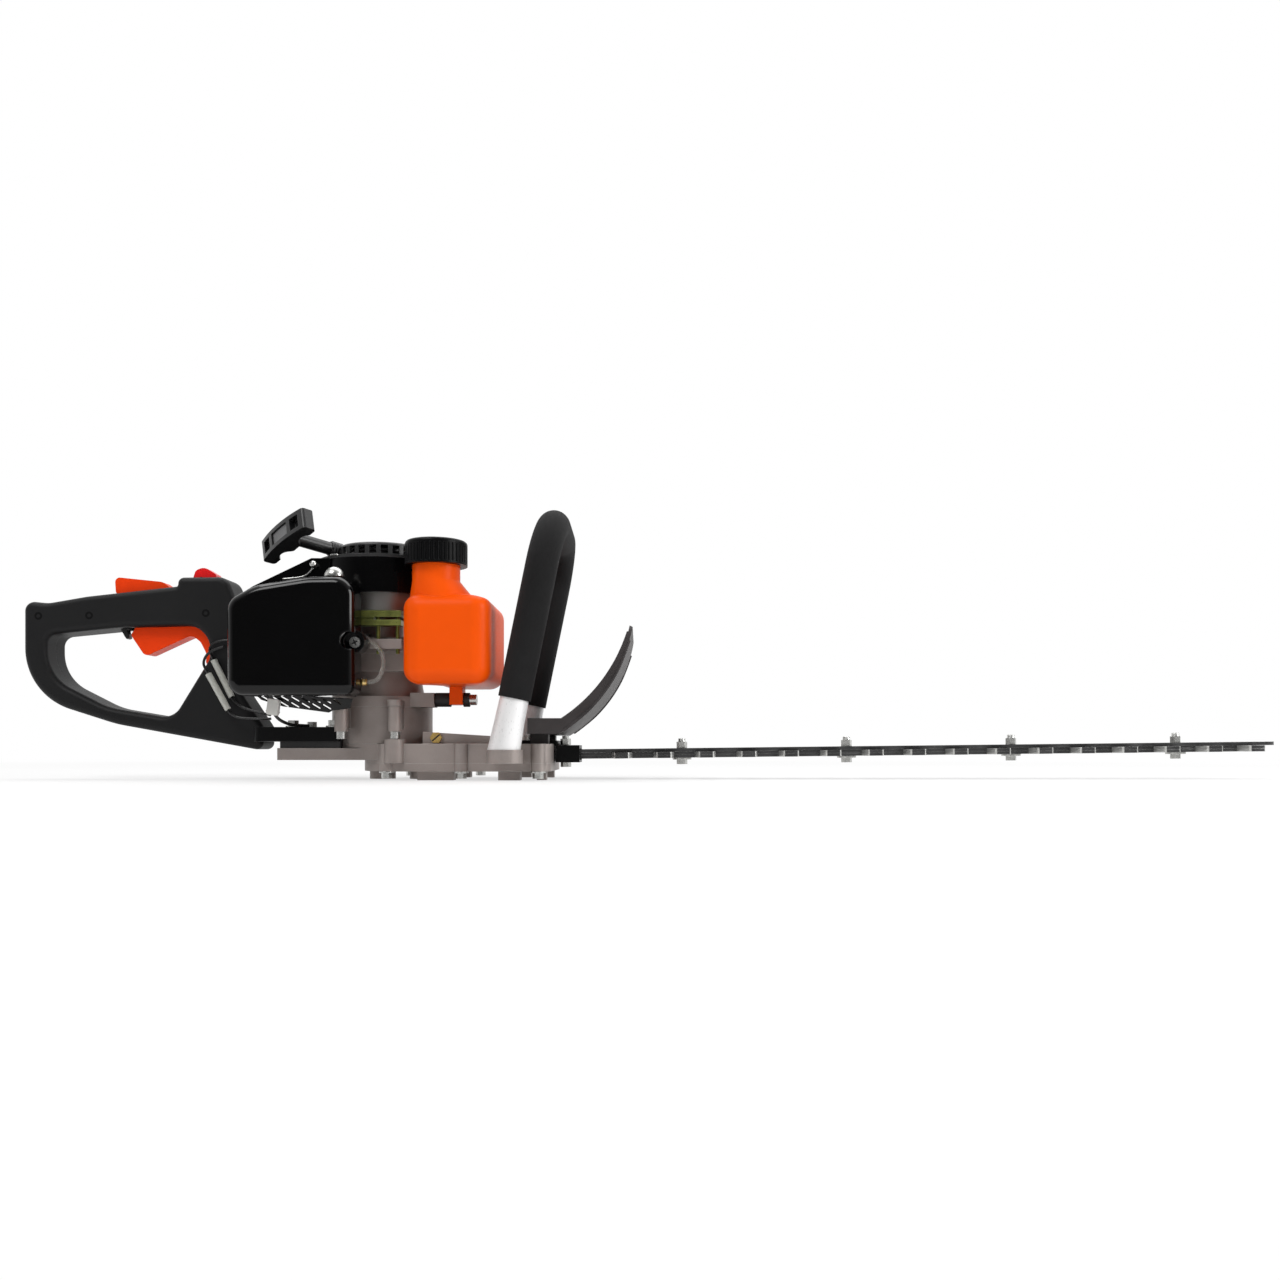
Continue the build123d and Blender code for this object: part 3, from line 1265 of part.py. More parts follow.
# Rear handle: two hollow halves round a hand opening
handle_points = (
    (-303, 152.6), (-283, 150.6), (-250, 156.3), (-172.3, 165), (-171.5, 172.6), (-130, 173),
    (-119.4, 146), (-119.4, 76), (-99, 45), (-99, 24.2), (-225, 47), (-303, 72),
)
handle_radii = (8, 25, 60, 1.8, 5.3, 11, 20, 12, 6, 6, 120, 55)
opening_points = (
    (-284, 123.5), (-284, 88), (-232, 61.5), (-176, 52), (-145, 102.7), (-144, 131.8), (-218, 130),
)
opening_radii = (9, 36, 60, 16, 10, 20, 80)
handle_outer = outline(handle_points, handle_radii)
handle_opening = outline(opening_points, opening_radii)
with BuildSketch() as handle_face:
    add(handle_outer)
    add(handle_opening, mode=Mode.SUBTRACT)
with BuildSketch() as handle_core:
    add(handle_face.sketch)
    offset(amount=-handle_wall, mode=Mode.REPLACE)
screw_spots = [(-289, 137), (-259, 65.5), (-186, 47), (-131, 156), (-126, 78)]
for half_name, side in (("rear_handle_right", 1), ("rear_handle_left", -1)):
    with BuildPart() as half:
        with BuildSketch(Plane.XZ):
            add(handle_face.sketch)
        extrude(amount=side * handle_half)
        rim = half.faces().filter_by(Axis.Y).sort_by(Axis.Y)[0 if side > 0 else -1]
        fillet(rim.edges(), handle_round)
        with BuildSketch(Plane.XZ):
            add(handle_core.sketch)
        extrude(amount=side * (handle_half - handle_wall), mode=Mode.SUBTRACT)
        with BuildSketch(Plane.XZ):
            with Locations(*screw_spots):
                Circle(5)
        extrude(amount=side * (handle_half - 1))
        with Locations((-222, 0, 94)):
            Box(88, 2 * trigger_half + 1, 46, align=front_up, mode=Mode.SUBTRACT)
        with Locations((-233, 0, 150)):
            Box(52, 2 * lever_half + 1, 40, align=front_up, mode=Mode.SUBTRACT)
        with Locations((-163.6, 0, 160)):
            Box(23, 2 * switch_half + 1, 40, align=front_up, mode=Mode.SUBTRACT)
        with Locations((-110, 0, bracket_low_z)):
            Box(20, 2 * tongue_half + 0.4, 9, align=front_up, mode=Mode.SUBTRACT)
        with BuildSketch(Plane.XZ):
            with Locations(*screw_spots):
                Circle(1.8 + hole_gap)
        extrude(amount=side * (handle_half - 4), mode=Mode.SUBTRACT)
        if side > 0:
            with BuildSketch(Plane.XZ.offset(handle_half - handle_wall)):
                with Locations(trigger_pivot, lever_pivot, switch_pivot):
                    Circle(pin_r)
            extrude(amount=handle_wall - handle_half - switch_half)
        if side < 0:
            with BuildSketch(Plane.XZ.offset(-handle_half)):
                with Locations(*screw_spots):
                    Circle(4)
            extrude(amount=4.5, mode=Mode.SUBTRACT)
    save(half, half_name)
with BuildPart() as handle_screws:
    with BuildSketch(Plane.XZ.offset(-handle_half + 4.5)):
        with Locations(*screw_spots):
            Circle(3.6)
    extrude(amount=-2.4)
    with BuildSketch(Plane.XZ.offset(-handle_half + 4.5)):
        with Locations(*screw_spots):
            Circle(1.8)
    extrude(amount=2 * handle_half - 10)
save(handle_screws, "handle_screws")

# Throttle trigger, its lock lever and the stop rocker
trigger_face = outline(
    (
        (-215.7, 124), (-210, 133), (-163, 136), (-146, 127), (-135, 108), (-136, 98), (-151, 98), (-150.5, 108),
        (-155.5, 118), (-163, 124), (-203.3, 105.4),
    ),
    (3, 3, 8, 8, 4, 4, 3, 8, 8, 8, 5),
)
with BuildPart() as throttle_trigger:
    with BuildSketch(Plane.XZ):
        add(trigger_face)
        with Locations(trigger_pivot):
            Circle(pin_r + running_fit, mode=Mode.SUBTRACT)
    extrude(amount=trigger_half, both=True)
save(throttle_trigger, "throttle_trigger")
lever_face = outline(
    ((-230, 174.2), (-189, 170), (-183, 166), (-184, 154), (-196, 154), (-229, 159)), (4, 8, 3, 3, 3, 4)
)
with BuildPart() as lock_lever:
    with BuildSketch(Plane.XZ):
        add(lever_face)
        with Locations(lever_pivot):
            Circle(pin_r + running_fit, mode=Mode.SUBTRACT)
    extrude(amount=lever_half, both=True)
save(lock_lever, "lock_lever")
switch_face = outline(
    ((-162.4, 174), (-160.5, 180), (-153, 183), (-142.6, 176.5), (-142, 172), (-147, 164), (-157, 164)),
    (1, 5, 8, 3, 1, 2, 2),
)
with BuildPart() as stop_switch:
    with BuildSketch(Plane.XZ):
        add(switch_face)
        with Locations(switch_pivot):
            Circle(pin_r + running_fit, mode=Mode.SUBTRACT)
    extrude(amount=switch_half, both=True)
save(stop_switch, "stop_switch")
# Bracket of the rear handle, its rubber pad and its bolts
with BuildPart() as handle_bracket:
    with Locations((bracket_x[0] + 1, 0, bracket_low_z)):
        Box(bracket_x[1] - bracket_x[0] - 1, 2 * bracket_half, bracket_top_z - bracket_low_z, align=front_up)
    fillet(handle_bracket.edges().filter_by(Axis.Z), 5)
    with Locations((bracket_x[0] - 12, 0, bracket_low_z + 0.5)):
        Box(20, 2 * tongue_half, 8, align=front_up)
    Cylinder(housing_r + 2 * free_gap, 100, align=upright, mode=Mode.SUBTRACT)
    with Locations(*[(x, y, 20) for x, y in bracket_bolt_spots]):
        Cylinder(case_bolt_r + hole_gap, 60, align=upright, mode=Mode.SUBTRACT)
save(handle_bracket, "handle_bracket")
with BuildPart() as handle_rubber_pad:
    with Locations((-76, 0, tail_top_z)):
        Box(76 + bracket_x[1], 2 * bracket_half - 4, bracket_low_z - tail_top_z, align=front_up)
    Cylinder(housing_r + free_gap, 100, align=upright, mode=Mode.SUBTRACT)
    with Locations(*[(x, y, 20) for x, y in bracket_bolt_spots]):
        Cylinder(case_bolt_r + hole_gap, 60, align=upright, mode=Mode.SUBTRACT)
save(handle_rubber_pad, "handle_rubber_pad")
# Flange bolts, one size, under the gear case and on the handle bracket
with BuildPart() as flange_bolt:
    Cylinder(6.2, 1.2, align=upright)
    with BuildSketch(Plane.XY.offset(1.2)):
        RegularPolygon(4.5, 6)
    extrude(amount=4.6)
    Cylinder(case_bolt_r, bolt_reach, align=(Align.CENTER, Align.CENTER, Align.MAX))
with BuildPart() as flange_bolts:
    with Locations(*[(x, y, bracket_top_z) for x, y in bracket_bolt_spots]):
        add(flange_bolt.part)
    with Locations(*[Location((x, y, foot_height), (180, 0, 0)) for x, y in pillar_spots]):
        add(flange_bolt.part)
save(flange_bolts, "flange_bolts")

# Stop wires through two clear connectors
wire_r = 1.1
wire_sides = (handle_half + 4, handle_half + 9.5)
wire_routes = (
    ((-124.9, 118), (-135.9, 118), (-143.3, 111), (-121.5, 66.3), (-111.3, 58.7), (-90, 54.5)),
    ((-128, 112), (-140, 109), (-146.2, 98.6), (-122.3, 55.3), (-114, 51), (-88, 51.2)),
)
with BuildPart() as wire_connectors:
    for route, side in zip(wire_routes, wire_sides):
        bend = Vector(route[2][0], -side, route[2][1])
        along = Vector(route[3][0], -side, route[3][1]) - bend
        with Locations(Plane(origin=bend + along * 0.22, z_dir=along)):
            Cylinder(2.7, along.length * 0.7, align=upright)
            Cylinder(wire_r + 0.1, along.length * 0.7, align=upright, mode=Mode.SUBTRACT)
save(wire_connectors, "wire_connectors")
with BuildPart() as stop_wires:
    for route, side in zip(wire_routes, wire_sides):
        with BuildLine(Plane.XZ.offset(side)) as wire_path:
            FilletPolyline(*route, radius=(4, 3, 3, 6))
        with BuildSketch(Plane(origin=wire_path.line @ 0, z_dir=wire_path.line % 0)):
            Circle(wire_r)
        sweep(path=wire_path.line)
save(stop_wires, "stop_wires")
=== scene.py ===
from math import cos, pi, radians, sin

import bmesh
import bpy
from mathutils import Matrix, Vector


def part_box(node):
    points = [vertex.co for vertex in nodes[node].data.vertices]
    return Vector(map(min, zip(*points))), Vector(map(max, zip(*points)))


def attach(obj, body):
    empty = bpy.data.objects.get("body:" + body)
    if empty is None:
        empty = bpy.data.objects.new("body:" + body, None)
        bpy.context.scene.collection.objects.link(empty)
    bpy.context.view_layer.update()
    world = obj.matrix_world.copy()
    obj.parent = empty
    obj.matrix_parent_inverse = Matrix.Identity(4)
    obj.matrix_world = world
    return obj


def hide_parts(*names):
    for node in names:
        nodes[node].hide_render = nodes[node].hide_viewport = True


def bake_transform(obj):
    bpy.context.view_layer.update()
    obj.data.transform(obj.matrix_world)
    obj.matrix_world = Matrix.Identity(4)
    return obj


# Looks of the petrol hedge trimmer, in metres, in the frame of the solids:
# X along the blades, Y away from the camera, Z up, origin on the floor under the crankshaft.
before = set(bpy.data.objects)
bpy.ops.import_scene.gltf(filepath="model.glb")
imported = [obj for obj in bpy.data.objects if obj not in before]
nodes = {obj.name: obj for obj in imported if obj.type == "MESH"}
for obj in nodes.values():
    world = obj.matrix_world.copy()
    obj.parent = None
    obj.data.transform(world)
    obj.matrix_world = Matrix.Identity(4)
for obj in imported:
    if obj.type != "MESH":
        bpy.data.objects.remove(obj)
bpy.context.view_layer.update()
scene = bpy.context.scene
MM = 0.001

# Materials
NOISE_LOW = 0.3
NOISE_HIGH = 0.7
FINE_DEPTH = 0.0002


def new_material(name):
    """A material, its node tree and its shader."""
    made = bpy.data.materials.new(name)
    made.use_nodes = True
    tree = made.node_tree
    return made, tree, tree.nodes["Principled BSDF"]


def add_node(tree, kind, **values):
    made = tree.nodes.new(kind)
    for key, value in values.items():
        setattr(made, key, value)
    return made


def noise(tree, scale, detail=3.0, stretch=(1, 1, 1)):
    place = add_node(tree, "ShaderNodeTexCoord")
    mapping = add_node(tree, "ShaderNodeMapping")
    mapping.inputs["Scale"].default_value = stretch
    cloud = add_node(tree, "ShaderNodeTexNoise")
    cloud.inputs["Scale"].default_value = scale
    cloud.inputs["Detail"].default_value = detail
    tree.links.new(place.outputs["Object"], mapping.inputs["Vector"])
    tree.links.new(mapping.outputs["Vector"], cloud.inputs["Vector"])
    return cloud.outputs["Fac"]


def spread(tree, source, low, high, to_low=0.0, to_high=1.0):
    """Maps one range of values onto another."""
    made = add_node(tree, "ShaderNodeMapRange")
    made.inputs["From Min"].default_value = low
    made.inputs["From Max"].default_value = high
    made.inputs["To Min"].default_value = to_low
    made.inputs["To Max"].default_value = to_high
    tree.links.new(source, made.inputs["Value"])
    return made.outputs["Result"]


def vary(tree, source, to_low=0.0, to_high=1.0):
    """Maps the middle of a noise onto a range of values."""
    return spread(tree, source, NOISE_LOW, NOISE_HIGH, to_low, to_high)


def calculate(tree, operation, first, second=None):
    """One sum; its second value is a number, another node's output or nothing."""
    made = add_node(tree, "ShaderNodeMath", operation=operation)
    tree.links.new(first, made.inputs[0])
    if isinstance(second, float):
        made.inputs[1].default_value = second
    elif second is not None:
        tree.links.new(second, made.inputs[1])
    return made.outputs[0]


def size_along(tree, source, axis):
    """The size of one part of a vector, without its sign."""
    parts = add_node(tree, "ShaderNodeSeparateXYZ")
    tree.links.new(source, parts.inputs["Vector"])
    return calculate(tree, "ABSOLUTE", parts.outputs[axis])


def mix_colour(tree, share, first, second):
    made = add_node(tree, "ShaderNodeMix", data_type="RGBA")
    tree.links.new(share, made.inputs["Factor"])
    for socket, value in ((made.inputs[6], first), (made.inputs[7], second)):
        if isinstance(value, tuple):
            socket.default_value = (*value, 1)
        else:
            tree.links.new(value, socket)
    return made.outputs[2]


def mix_shader(tree, share, first, second):
    made = add_node(tree, "ShaderNodeMixShader")
    for socket, source in zip(made.inputs, (share, first, second)):
        tree.links.new(source, socket)
    return made.outputs[0]


def edge_mask(tree, radius):
    """A mask of the edges, and the normal that rounds them."""
    bevel = add_node(tree, "ShaderNodeBevel", samples=4)
    bevel.inputs["Radius"].default_value = radius
    place = add_node(tree, "ShaderNodeNewGeometry")
    dot = add_node(tree, "ShaderNodeVectorMath", operation="DOT_PRODUCT")
    tree.links.new(bevel.outputs["Normal"], dot.inputs[0])
    tree.links.new(place.outputs["True Normal"], dot.inputs[1])
    return spread(tree, dot.outputs["Value"], 1.0, 0.86), bevel.outputs["Normal"]


def raise_grain(tree, shader, height, strength, depth=FINE_DEPTH, normal=None):
    relief = add_node(tree, "ShaderNodeBump")
    relief.inputs["Strength"].default_value = strength
    relief.inputs["Distance"].default_value = depth
    tree.links.new(height, relief.inputs["Height"])
    if normal is not None:
        tree.links.new(normal, relief.inputs["Normal"])
    tree.links.new(relief.outputs["Normal"], shader.inputs["Normal"])


def surface(name, colour, rough, metal=0.0, shade=0.25, blotch=40.0, grain=1500.0, bump=0.1,
            depth=FINE_DEPTH, edge=None, edge_radius=0.0006, edge_highlight_and_wear_share=0.5, specular=0.5,
            stretch=(1, 1, 1), rough_spread=0.08, sheen=0.0):
    """A surface with cloudy shade, grain in its bump and roughness, and edges mixed towards an edge
    colour: painted edge highlight along with wear.
    """
    made, tree, shader = new_material(name)
    darker = tuple(v * (1 - shade) for v in colour)
    lighter = tuple(min(1, v * (1 + shade * 0.6)) for v in colour)
    tone = mix_colour(tree, vary(tree, noise(tree, blotch, 4.0, stretch)), darker, lighter)
    mask, round_normal = edge_mask(tree, edge_radius)
    # Edges mixed towards the edge colour, mostly lighter: painted edge highlight along with wear
    if edge:
        tone = mix_colour(tree, calculate(tree, "MULTIPLY", mask, edge_highlight_and_wear_share), tone, edge)
    tree.links.new(tone, shader.inputs["Base Color"])
    fine = noise(tree, grain, 2.0, stretch)
    smoothest = max(0.02, rough - rough_spread)
    tree.links.new(vary(tree, fine, smoothest, rough + rough_spread), shader.inputs["Roughness"])
    raise_grain(tree, shader, fine, bump, depth, round_normal)
    shader.inputs["Metallic"].default_value = metal
    shader.inputs["Specular IOR Level"].default_value = specular
    shader.inputs["Sheen Weight"].default_value = sheen
    return made


def blade_surface(name, dark, bright, scratch=(0.22, 0.22, 0.22), spine_half=0.0125):
    """Dark blade faces with ground, bright tooth flanks beyond the spine."""
    made, tree, shader = new_material(name)
    place = add_node(tree, "ShaderNodeNewGeometry")
    flank = spread(tree, size_along(tree, place.outputs["True Normal"], "X"), 0.35, 0.6)
    reach = size_along(tree, place.outputs["Position"], "Y")
    toothed = spread(tree, reach, spine_half, spine_half + 1 * MM)
    ground = calculate(tree, "MULTIPLY", flank, toothed)
    darker = tuple(v * 0.7 for v in dark)
    lighter = tuple(v * 1.5 for v in dark)
    tone = mix_colour(tree, vary(tree, noise(tree, 60.0, 5.0)), darker, lighter)
    scratches = noise(tree, 700.0, 3.0, (0.06, 1, 1))
    tone = mix_colour(tree, spread(tree, scratches, 0.62, 0.72, 0.0, 0.35), tone, scratch)
    mask, round_normal = edge_mask(tree, 0.0004)
    # Edges mixed a little towards bright steel: painted edge highlight along with wear
    tone = mix_colour(tree, calculate(tree, "MULTIPLY", mask, 0.35), tone, bright)
    tone = mix_colour(tree, ground, tone, bright)
    tree.links.new(tone, shader.inputs["Base Color"])
    tree.links.new(vary(tree, scratches, 0.28, 0.46), shader.inputs["Roughness"])
    raise_grain(tree, shader, scratches, 0.12, FINE_DEPTH, round_normal)
    shader.inputs["Metallic"].default_value = 0.85
    return made


def clear_surface(name, colour, rough, share):
    """Clear plastic, slightly hazy and yellowed."""
    made, tree, shader = new_material(name)
    cloud = noise(tree, 300.0, 3.0)
    tone = mix_colour(tree, vary(tree, cloud), colour, tuple(v * 0.8 for v in colour))
    tree.links.new(tone, shader.inputs["Base Color"])
    tree.links.new(vary(tree, cloud, rough - 0.04, rough + 0.06), shader.inputs["Roughness"])
    raise_grain(tree, shader, cloud, 0.1)
    shader.inputs["Transmission Weight"].default_value = share
    shader.inputs["IOR"].default_value = 1.45
    return made


# In the materials below, each edge colour is painted edge highlight along with wear
# Moulded plastic
handle_grey = surface("handle_grey", (0.0085, 0.0085, 0.009), 0.5, grain=2600.0, bump=0.16, shade=0.12,
                      blotch=18.0, edge=(0.045, 0.045, 0.047), edge_highlight_and_wear_share=0.3, edge_radius=0.0009,
                      specular=0.2)
gloss_black = surface("gloss_black", (0.0012, 0.0012, 0.0013), 0.07, grain=500.0, bump=0.01, shade=0.2,
                      edge=(0.02, 0.02, 0.021), edge_highlight_and_wear_share=0.3, edge_radius=0.0009, specular=0.3,
                      rough_spread=0.03)
satin_black = surface("satin_black", (0.006, 0.006, 0.0065), 0.36, grain=2200.0, bump=0.12, shade=0.2,
                      edge=(0.075, 0.075, 0.077), edge_highlight_and_wear_share=0.6, edge_radius=0.0007)
starter_black = surface("starter_black", (0.026, 0.026, 0.0265), 0.36, grain=2200.0, bump=0.12,
                        shade=0.2, edge=(0.075, 0.075, 0.077), edge_highlight_and_wear_share=0.6, edge_radius=0.0007,
                        specular=0.35)
shroud_black = surface("shroud_black", (0.0018, 0.0018, 0.002), 0.16, grain=1800.0, bump=0.05, shade=0.2,
                       edge=(0.05, 0.05, 0.052), edge_highlight_and_wear_share=0.45, specular=0.14)
guard_black = surface("guard_black", (0.045, 0.040, 0.040), 0.45, grain=1600.0, bump=0.1, shade=0.2,
                      edge=(0.07, 0.07, 0.07), edge_highlight_and_wear_share=0.4, edge_radius=0.0008, specular=0.1)
cap_black = surface("cap_black", (0.0018, 0.0019, 0.0022), 0.36, grain=2400.0, bump=0.12, shade=0.2,
                    edge=(0.05, 0.05, 0.052), edge_highlight_and_wear_share=0.4, specular=0.09)
tank_orange = surface("tank_orange", (0.86, 0.086, 0.001), 0.36, grain=900.0, bump=0.05, shade=0.05,
                      blotch=14.0, edge=(1.0, 0.16, 0.02), edge_highlight_and_wear_share=0.2, edge_radius=0.0012,
                      specular=0.1)
trigger_orange = surface("trigger_orange", (0.86, 0.048, 0.001), 0.36, grain=1800.0, bump=0.06,
                         shade=0.08, edge=(1.0, 0.10, 0.01), edge_highlight_and_wear_share=0.3, specular=0.15)
switch_red = surface("switch_red", (0.84, 0.011, 0.012), 0.22, grain=1500.0, bump=0.04, shade=0.1,
                     edge=(0.9, 0.1, 0.08), edge_highlight_and_wear_share=0.3, specular=0.35)
inlay_grey = surface("inlay_grey", (0.16, 0.16, 0.163), 0.55, grain=2400.0, bump=0.2, shade=0.2)
pale = surface("pale_plastic", (0.62, 0.61, 0.58), 0.4, grain=900.0, bump=0.08, shade=0.12)
dimple_dark = surface("dimple_dark", (0.003, 0.003, 0.0032), 0.6, grain=2000.0, bump=0.1, shade=0.2,
                      specular=0.1)
clear = clear_surface("clear", (0.86, 0.86, 0.80), 0.14, 0.5)
clear_hose = clear_surface("clear_hose", (0.86, 0.85, 0.80), 0.10, 0.88)

# Metal
cast_metal = surface("cast_metal", (0.318, 0.277, 0.258), 0.47, 0.5, grain=900.0, bump=0.42,
                     depth=0.0003, shade=0.22, blotch=26.0, edge=(0.50, 0.48, 0.46), edge_highlight_and_wear_share=0.55,
                     edge_radius=0.0008)
engine_alloy = surface("engine_alloy", (0.31, 0.30, 0.29), 0.42, 0.85, grain=1100.0, bump=0.3, shade=0.2,
                       blotch=35.0, edge=(0.6, 0.59, 0.57), edge_highlight_and_wear_share=0.5)
machined = surface("machined", (0.40, 0.40, 0.40), 0.30, 1.0, grain=800.0, bump=0.1, shade=0.2,
                   stretch=(1, 1, 0.08), edge=(0.7, 0.7, 0.7), edge_highlight_and_wear_share=0.5)
zinc = surface("zinc", (0.55, 0.55, 0.53), 0.28, 1.0, grain=1800.0, bump=0.08, shade=0.22, blotch=300.0,
               edge=(0.85, 0.85, 0.83), edge_highlight_and_wear_share=0.6, edge_radius=0.0004)
leg_silver = surface("leg_silver", (0.92, 0.92, 0.92), 0.34, 0.22, grain=1500.0, bump=0.08, shade=0.1,
                     blotch=60.0, stretch=(1, 1, 0.2), edge=(0.85, 0.85, 0.85), edge_highlight_and_wear_share=0.4)
brass = surface("brass", (0.62, 0.42, 0.14), 0.3, 1.0, grain=1500.0, bump=0.1, shade=0.25, blotch=200.0,
                edge=(0.85, 0.66, 0.34), edge_highlight_and_wear_share=0.5)
olive = surface("olive", (0.19, 0.215, 0.05), 0.34, 0.6, grain=1300.0, bump=0.1, shade=0.4, blotch=120.0,
                edge=(0.4, 0.46, 0.14), edge_highlight_and_wear_share=0.6)
coated = surface("coated", (0.0025, 0.0025, 0.0027), 0.34, grain=1300.0, bump=0.22, shade=0.25,
                 edge=(0.07, 0.07, 0.07), edge_highlight_and_wear_share=0.5, specular=0.12)
blade_dark = blade_surface("blade_dark", (0.066, 0.066, 0.0665), (0.62, 0.62, 0.60))

# Foam, rubber, wire and rope
foam = surface("foam", (0.0105, 0.0102, 0.0106), 0.86, grain=1900.0, bump=0.55, depth=0.0005, shade=0.18,
               blotch=30.0, sheen=0.03, specular=0.18)
rubber = surface("rubber", (0.012, 0.012, 0.012), 0.62, grain=1500.0, bump=0.2, shade=0.25,
                 edge=(0.05, 0.05, 0.05), edge_highlight_and_wear_share=0.4)
insulation = surface("insulation", (0.006, 0.006, 0.006), 0.3, grain=1200.0, bump=0.06, shade=0.2)
cord = surface("cord", (0.03, 0.03, 0.032), 0.8, grain=2600.0, bump=0.6, depth=0.0004, shade=0.3)

finish = {
    cast_metal: ("gear_case_cover", "gear_case", "clutch_housing", "crankcase_lower", "crankcase_upper"),
    engine_alloy: ("cylinder", "piston", "connecting_rod", "carburettor", "flywheel"),
    machined: ("drive_gear", "upper_rod", "lower_rod", "clutch_drum", "ball_bearings", "crankshaft",
               "clutch_shoes", "muffler"),
    zinc: ("clutch_housing_bolts", "cover_screws", "muffler_cover_screws", "tank_mount_bolt",
           "case_top_screws", "blade_bolts", "blade_nuts", "handle_screws", "flange_bolts", "spark_plug"),
    leg_silver: ("front_handle_tube", "front_handle_posts"),
    brass: ("grease_plug",),
    olive: ("ignition_coil",),
    handle_grey: ("rear_handle_right", "rear_handle_left"),
    gloss_black: ("muffler_cover",),
    shroud_black: ("fan_shroud",),
    starter_black: ("starter_cover",),
    satin_black: ("starter_handle", "starter_reel", "air_filter_box"),
    cap_black: ("fuel_cap",),
    guard_black: ("hand_guard",),
    tank_orange: ("fuel_tank",),
    trigger_orange: ("throttle_trigger", "lock_lever"),
    switch_red: ("stop_switch",),
    foam: ("front_grip",),
    rubber: ("tank_mount_rubbers", "handle_rubber_pad", "spark_plug_cap", "fuel_hose"),
    coated: ("handle_bracket", "blade_bracket"),
    insulation: ("stop_wires",),
    cord: ("starter_rope",),
    blade_dark: ("upper_blade", "lower_blade", "blade_guide_bar"),
    clear: ("wire_connectors",),
    clear_hose: ("breather_hose",),
}
for look, names in finish.items():
    for name in names:
        mesh = nodes[name].data
        mesh.materials.clear()
        mesh.materials.append(look)

# Pieces that dress the solids, in millimetres


def add_piece(name, mesh, look, body):
    mesh.materials.append(look)
    made = bpy.data.objects.new(name, mesh)
    scene.collection.objects.link(made)
    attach(made, body)
    return made


def finished_mesh(name, build):
    mesh = bpy.data.meshes.new(name)
    build.to_mesh(mesh)
    build.free()
    return mesh


def set_at(origin, axis, turn=0.0):
    """A placing with local z along the axis."""
    away = Vector(axis).normalized()
    spin = away.to_track_quat("Z", "Y").to_matrix().to_4x4() @ Matrix.Rotation(turn, 4, "Z")
    return Matrix.Translation(Vector(origin) * MM) @ spin @ Matrix.Scale(MM, 4)


def lathe(name, profile, origin, axis, look, body, steps=40):
    """A turned piece from (radius, height) points."""
    build = bmesh.new()
    rings = []
    for step in range(steps):
        turn = 2 * pi * step / steps
        rings.append([build.verts.new((r * cos(turn), r * sin(turn), z)) for r, z in profile])
    for step in range(steps):
        here = rings[step]
        there = rings[(step + 1) % steps]
        for row in range(len(profile) - 1):
            face = build.faces.new((here[row], there[row], there[row + 1], here[row + 1]))
            face.smooth = True
    bmesh.ops.remove_doubles(build, verts=build.verts, dist=0.001)
    build.transform(set_at(origin, axis))
    bmesh.ops.recalc_face_normals(build, faces=build.faces)
    return add_piece(name, finished_mesh(name, build), look, body)


def prism(name, points, depth, placing, look, body, round_off):
    """An outline in the local XY plane, made deep to both sides, with rounded edges."""
    build = bmesh.new()
    low = [build.verts.new((x, y, -depth)) for x, y in points]
    top = [build.verts.new((x, y, depth)) for x, y in points]
    build.faces.new(low[::-1])
    build.faces.new(top)
    count = len(points)
    for at in range(count):
        after = (at + 1) % count
        build.faces.new((low[at], low[after], top[after], top[at]))
    bmesh.ops.bevel(build, geom=build.edges[:], offset=round_off, segments=3, affect="EDGES",
                    profile=0.5)
    build.transform(placing)
    bmesh.ops.recalc_face_normals(build, faces=build.faces)
    return add_piece(name, finished_mesh(name, build), look, body)


def tube(name, routes, radius, look, body):
    """A smooth round line, or several, through the control points."""
    curve = bpy.data.curves.new(name, "CURVE")
    curve.dimensions = "3D"
    curve.bevel_depth = radius * MM
    curve.bevel_resolution = 5
    curve.resolution_u = 10
    curve.use_fill_caps = True
    for route in routes:
        line = curve.splines.new("NURBS")
        line.points.add(len(route) - 1)
        for point, at in zip(line.points, route):
            point.co = (*(Vector(at) * MM), 1)
        line.order_u = 3
        line.use_endpoint_u = True
    return add_piece(name, curve, look, body)


# Starter: ribbed collar round the rope's exit
pull = Vector((-0.649, -0.752, 0.114)).normalized()
rope_exit = Vector((-34, -8, 195.5))
rib_pitch = 2.6
collar = [(5.9, 0.6)]
for rib in range(4):
    foot = rib_pitch * rib
    collar += [(6.2, foot + 1.0), (6.9, foot + 1.4), (6.9, foot + 2.4), (6.2, foot + 2.9)]
collar += [(5.9, 11.4)]
lathe("starter_collar", collar, rope_exit, pull, satin_black, "machine")

# Starter rope, from the cover to the handle
rope_radius = 1.8
rope_length = 40
lobe_height = 0.07
lay_turn = 1.6


def rope_mesh(name, rings=80, sides=18):
    """A laid rope along local z: the section is a three-lobed round that turns as it goes."""
    build = bmesh.new()
    rows = []
    for ring in range(rings + 1):
        z = rope_length * ring / rings
        row = []
        for side in range(sides):
            turn = 2 * pi * side / sides
            lobe = rope_radius * (1 - lobe_height + lobe_height * cos(3 * turn + z * lay_turn))
            row.append(build.verts.new((lobe * cos(turn), lobe * sin(turn), z)))
        rows.append(row)
    for here, there in zip(rows, rows[1:]):
        for side in range(sides):
            after = (side + 1) % sides
            face = build.faces.new((here[side], here[after], there[after], there[side]))
            face.smooth = True
    build.faces.new(rows[0][::-1])
    build.faces.new(rows[-1])
    build.transform(set_at(rope_exit, pull))
    return finished_mesh(name, build)


rope = bpy.data.objects.new("pull_rope", rope_mesh("pull_rope"))
rope.data.materials.append(cord)
scene.collection.objects.link(rope)
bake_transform(rope)
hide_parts("starter_rope")

